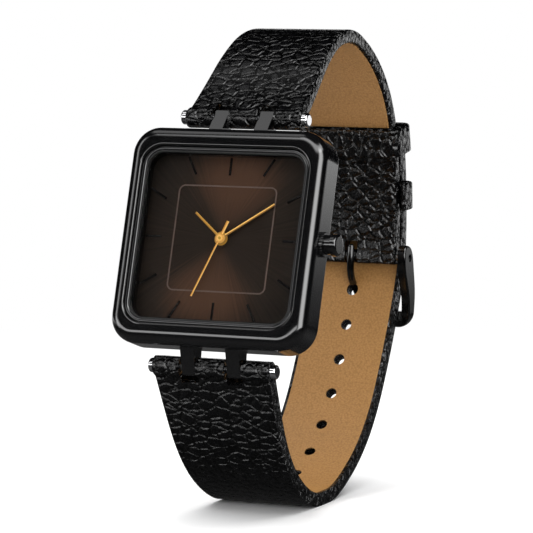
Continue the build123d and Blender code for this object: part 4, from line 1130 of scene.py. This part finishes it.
@dataclass
class Studio:
    """Pale floor, soft lights and the photograph's camera."""

    turn: float = 25.61
    rise: float = 5.53
    distance: float = 512.1
    target: tuple[float, float, float] = (7.67, -20.0, 39.97)
    lens: float = 225.1
    room_light: float = 0.45
    floor_size: float = 6.0
    floor_colour: str = "f8f8f8"
    matt_reach: tuple[float, float] = (0.08, 0.25)
    mirrored_slant: float = -0.9
    mirrored_reach: tuple[float, float] = (0.08, 0.50)
    mirrored_light: float = 1.3
    shade_reach: float = 0.2
    cards: tuple[Card, ...] = (
        Card((-100, -56), (56, 68), 1.1, 8.0),
        Card((-34, 100), (44, 54), 4.2, 10.0),
        Card((52, 70), (-30, 38), 7.0, 20.0),
        Card((-178, -132), (-20, 4), 1.6, 6.0),
        Card((-60, -48), (-30, 34), 3.0, 4.0),
        Card((-50, 30), (7, 14), 4.4, 4.0),
    )

    def camera(self) -> None:
        """Place the camera at the photograph's viewing angle."""
        a, e = math.radians(self.turn), math.radians(self.rise)
        back = Vector((math.sin(a) * math.cos(e), -math.cos(a) * math.cos(e), math.sin(e)))
        data = bpy.data.cameras.new("camera")
        data.lens = self.lens
        data.sensor_width = 36.0
        data.clip_start = 0.01
        data.clip_end = 20.0
        obj = bpy.data.objects.new("camera", data)
        bpy.context.collection.objects.link(obj)
        obj.location = Vector(self.target) * MM + back * self.distance * MM
        obj.rotation_euler = (-back).to_track_quat("-Z", "Y").to_euler()
        bpy.context.scene.camera = obj

    def softbox(
        self, name: str, place: tuple[float, float, float], size: tuple[float, float], watts: float
    ) -> None:
        """Hang a rectangular soft light that faces the watch.

        Args:
            name: The lamp's name.
            place: Where it hangs, in metres.
            size: Its width and height in metres.
            watts: Its power.
        """
        data = bpy.data.lights.new(name, "AREA")
        data.shape = "RECTANGLE"
        data.size, data.size_y = size
        data.energy = watts
        obj = bpy.data.objects.new(name, data)
        bpy.context.collection.objects.link(obj)
        obj.location = place
        obj.visible_glossy = False
        toward = Vector((0, 0, 0.04)) - Vector(place)
        obj.rotation_euler = toward.to_track_quat("-Z", "Y").to_euler()

    def floor(self) -> None:
        """Lay the white floor that keeps the watch's shadow.

        Near the watch it is matt board, and farther out it is as white as the background. What gloss
        mirrors of it is a painted reflection, an emission seen only by gloss: dim near the watch as a
        painted shadow of the watch, and bright behind it, as beside a studio's flags.
        """
        bpy.ops.object.select_all(action="DESELECT")
        bpy.ops.mesh.primitive_plane_add(size=self.floor_size, location=(0, 0, 0))
        obj = bpy.context.object
        obj.name = "floor"
        material, tree = blank("painted_white_board")
        place = add_node(tree, "TexCoord").outputs["Object"]
        reach = add_node(tree, "VectorMath", [place], operation="LENGTH").outputs["Value"]
        far = add_node(
            tree,
            "MapRange",
            [reach, self.matt_reach[0], self.matt_reach[1]],
            interpolation_type="SMOOTHSTEP",
        )
        matt = add_node(tree, "BsdfDiffuse", {"Color": linear(self.floor_colour)})
        ray = add_node(tree, "LightPath")
        glow = add_node(
            tree, "Emission", {"Color": linear(WHITE), "Strength": ray.outputs["Is Camera Ray"]}
        )
        board = add_node(tree, "MixShader", [far, matt, glow])
        split = add_node(tree, "SeparateXYZ", [place])
        slant = add_node(
            tree,
            "Math",
            [split.outputs["X"], self.mirrored_slant, split.outputs["Y"]],
            operation="MULTIPLY_ADD",
        )
        near, deep = self.mirrored_reach
        behind = add_node(
            tree,
            "MapRange",
            [slant, near, deep, 0.0, self.mirrored_light],
            interpolation_type="SMOOTHSTEP",
        )
        # Painted shadow: what gloss mirrors of the floor is darkest right by the watch, where its shadow
        # lies, brighter a little farther out and dim far out.
        share = add_node(tree, "MapRange", [reach, 0.0, self.shade_reach])
        shade = add_node(tree, "ValToRGB", {"Fac": share})
        fill_ramp(shade, [(0.12, "383838"), (0.28, "626262"), (0.75, "2c2c2c")])
        mirrored = add_node(tree, "Math", [behind, shade], operation="ADD")
        reflected = add_node(tree, "Emission", {"Color": linear(WHITE), "Strength": mirrored})
        seen = add_node(tree, "MixShader", [ray.outputs["Is Glossy Ray"], board, reflected])
        add_node(tree, "OutputMaterial", {"Surface": seen})
        obj.data.materials.append(material)

    def world(self) -> None:
        """Make the surroundings: white to the camera, a dim room to matt surfaces, cards to gloss."""
        world = bpy.data.worlds.new("studio")
        bpy.context.scene.world = world
        world.use_nodes = True
        tree = world.node_tree
        tree.nodes.clear()
        place = add_node(tree, "TexCoord").outputs["Generated"]
        split = add_node(tree, "SeparateXYZ", [place])
        front = add_node(tree, "Math", [split.outputs["Y"], -1.0], operation="MULTIPLY")
        turn = add_node(tree, "Math", [split.outputs["X"], front], operation="ARCTAN2")
        rise = add_node(tree, "Math", [split.outputs["Z"]], operation="ARCSINE")
        total = self.cards[0].draw(tree, turn.outputs[0], rise.outputs[0])
        for card in self.cards[1:]:
            glow = card.draw(tree, turn.outputs[0], rise.outputs[0])
            total = add_node(tree, "Math", [total, glow], operation="ADD").outputs[0]
        room, mirrored, white = (
            add_node(tree, "Background", {"Color": linear(WHITE), "Strength": strength})
            for strength in (self.room_light, total, 1.0)
        )
        ray = add_node(tree, "LightPath")
        seen = add_node(
            tree,
            "Math",
            [ray.outputs["Is Camera Ray"], ray.outputs["Is Transmission Ray"]],
            operation="MAXIMUM",
        )
        reflected = add_node(tree, "MixShader", [ray.outputs["Is Glossy Ray"], room, mirrored])
        mix = add_node(tree, "MixShader", [seen, reflected, white])
        add_node(tree, "OutputWorld", {"Surface": mix})

    def build(self) -> None:
        """Set up the whole studio."""
        self.camera()
        self.floor()
        self.world()
        self.softbox("overhead", (-0.10, 0.05, 0.75), (1.2, 1.0), 11.0)
        self.softbox("inside_fill", (0.45, -0.55, 0.30), (0.40, 0.40), 2.0)
        bpy.context.scene.view_settings.view_transform = "Standard"


def watch_finishes() -> list[tuple[Finish, list[str]]]:
    """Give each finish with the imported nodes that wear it."""
    return [
        # Black ion plating on polished steel is near-black with sharp bright bands.
        (PlatedGloss("black_plated_steel"), ["case_body", "crown"]),
        # Enamel is blacker than the plating and mirrors less.
        (
            PlatedGloss("black_enamelled_buckle", colour="040404", roughness=0.1, gloss=0.42),
            ["buckle_frame", "buckle_tongue"],
        ),
        # The ring is polished finer than the case, so it shows as thin bright lines.
        (PlatedGloss("polished_black_ring", colour="1a1a1b", roughness=0.08), ["bezel_ring"]),
        (MineralCrystal("mineral_crystal"), ["crystal"]),
        # Rubber seals are dull and almost black.
        (
            Moulded("nitrile_rubber", colour="0d0d0d", roughness=0.7),
            ["crystal_gasket", "back_gasket", "crown_gasket"],
        ),
        # Its lighter rays and its lighter middle are painted sheen.
        (SunrayDial("brown_sunray_lacquer"), ["dial"]),
        # Thin brown ink is only a little lighter than the dial.
        (Moulded("printed_dial_line", colour="52423a", roughness=0.5), ["dial_line"]),
        # The markers are black gloss that stands out from the dial by its glints.
        (PlatedGloss("black_markers", colour="060606", roughness=0.2), ["hour_markers"]),
        # Each hand is painted with one long side lighter than the other and with rings of painted highlight
        # on its boss.
        (Gilding("gilt_brass_minute_hand", deep="8f6420"), ["minute_hand"]),
        (Gilding("gilt_brass_second_hand", clock=201.5), ["second_hand"]),
        # The hour hand's tones are painted darker, as painted shade on the same gilt brass.
        (
            Gilding("gilt_brass_hour_hand", light="a5782e", deep="c8963a", clock=309.0),
            ["hour_hand"],
        ),
        # Rolled brass is warm yellow with a faint rolling grain.
        (
            Metal("rolled_brass", colour="c9a24a", roughness=0.35),
            ["main_plate", "hour_wheel", "minute_wheel", "center_wheel", "third_wheel", "second_wheel"],
        ),
        # Drawn and stamped steel is mid grey with a fine grain.
        (
            Metal("drawn_steel", colour="b9b9bb", roughness=0.3),
            [
                "train_bridge", "bridge_screws", "battery_clamp", "stator", "coil_core", "rotor",
                "sliding_pinion", "setting_lever", "stem", "crown_tube", "upper_bar", "lower_bar",
                "buckle_pin", "quartz_can", "battery", "back_screws",
            ],
        ),
        # The back is brushed along its width, which draws reflections out across the lines.
        (
            Metal("brushed_steel_back", colour="b4b4b6", roughness=0.34, stretch=(1.0, 14.0, 14.0)),
            ["case_back"],
        ),
        # The caps are polished, so they show as small white sparks.
        (
            Metal("polished_steel_caps", colour="e2e2e4", roughness=0.1, grain_strength=0.01),
            ["bar_caps"],
        ),
        # Acetal is milky white and slightly waxy.
        (Moulded("acetal_resin", colour="dedbd0", roughness=0.45), ["movement_holder", "fifth_wheel"]),
        # Enamelled wire is copper-red, with a grain as fine as its turns.
        (
            Metal("enamelled_copper_wire", colour="b46a3c", roughness=0.3, grain_mm=0.08),
            ["coil_winding"],
        ),
        # Solder mask is dark green and half glossy.
        (Moulded("solder_masked_board", colour="1d4a2c", roughness=0.3), ["circuit_board"]),
    ]


def main() -> None:
    """Build the watch's looks piece by piece and report each."""
    Studio().build()
    Dressing(watch_finishes()).build()
    black = PebbledLeather("pebbled_calf_leather").build()
    tan = TanLining("tanned_lining_leather").build()
    Straps().build(black, tan)


if __name__ == "__main__":
    main()
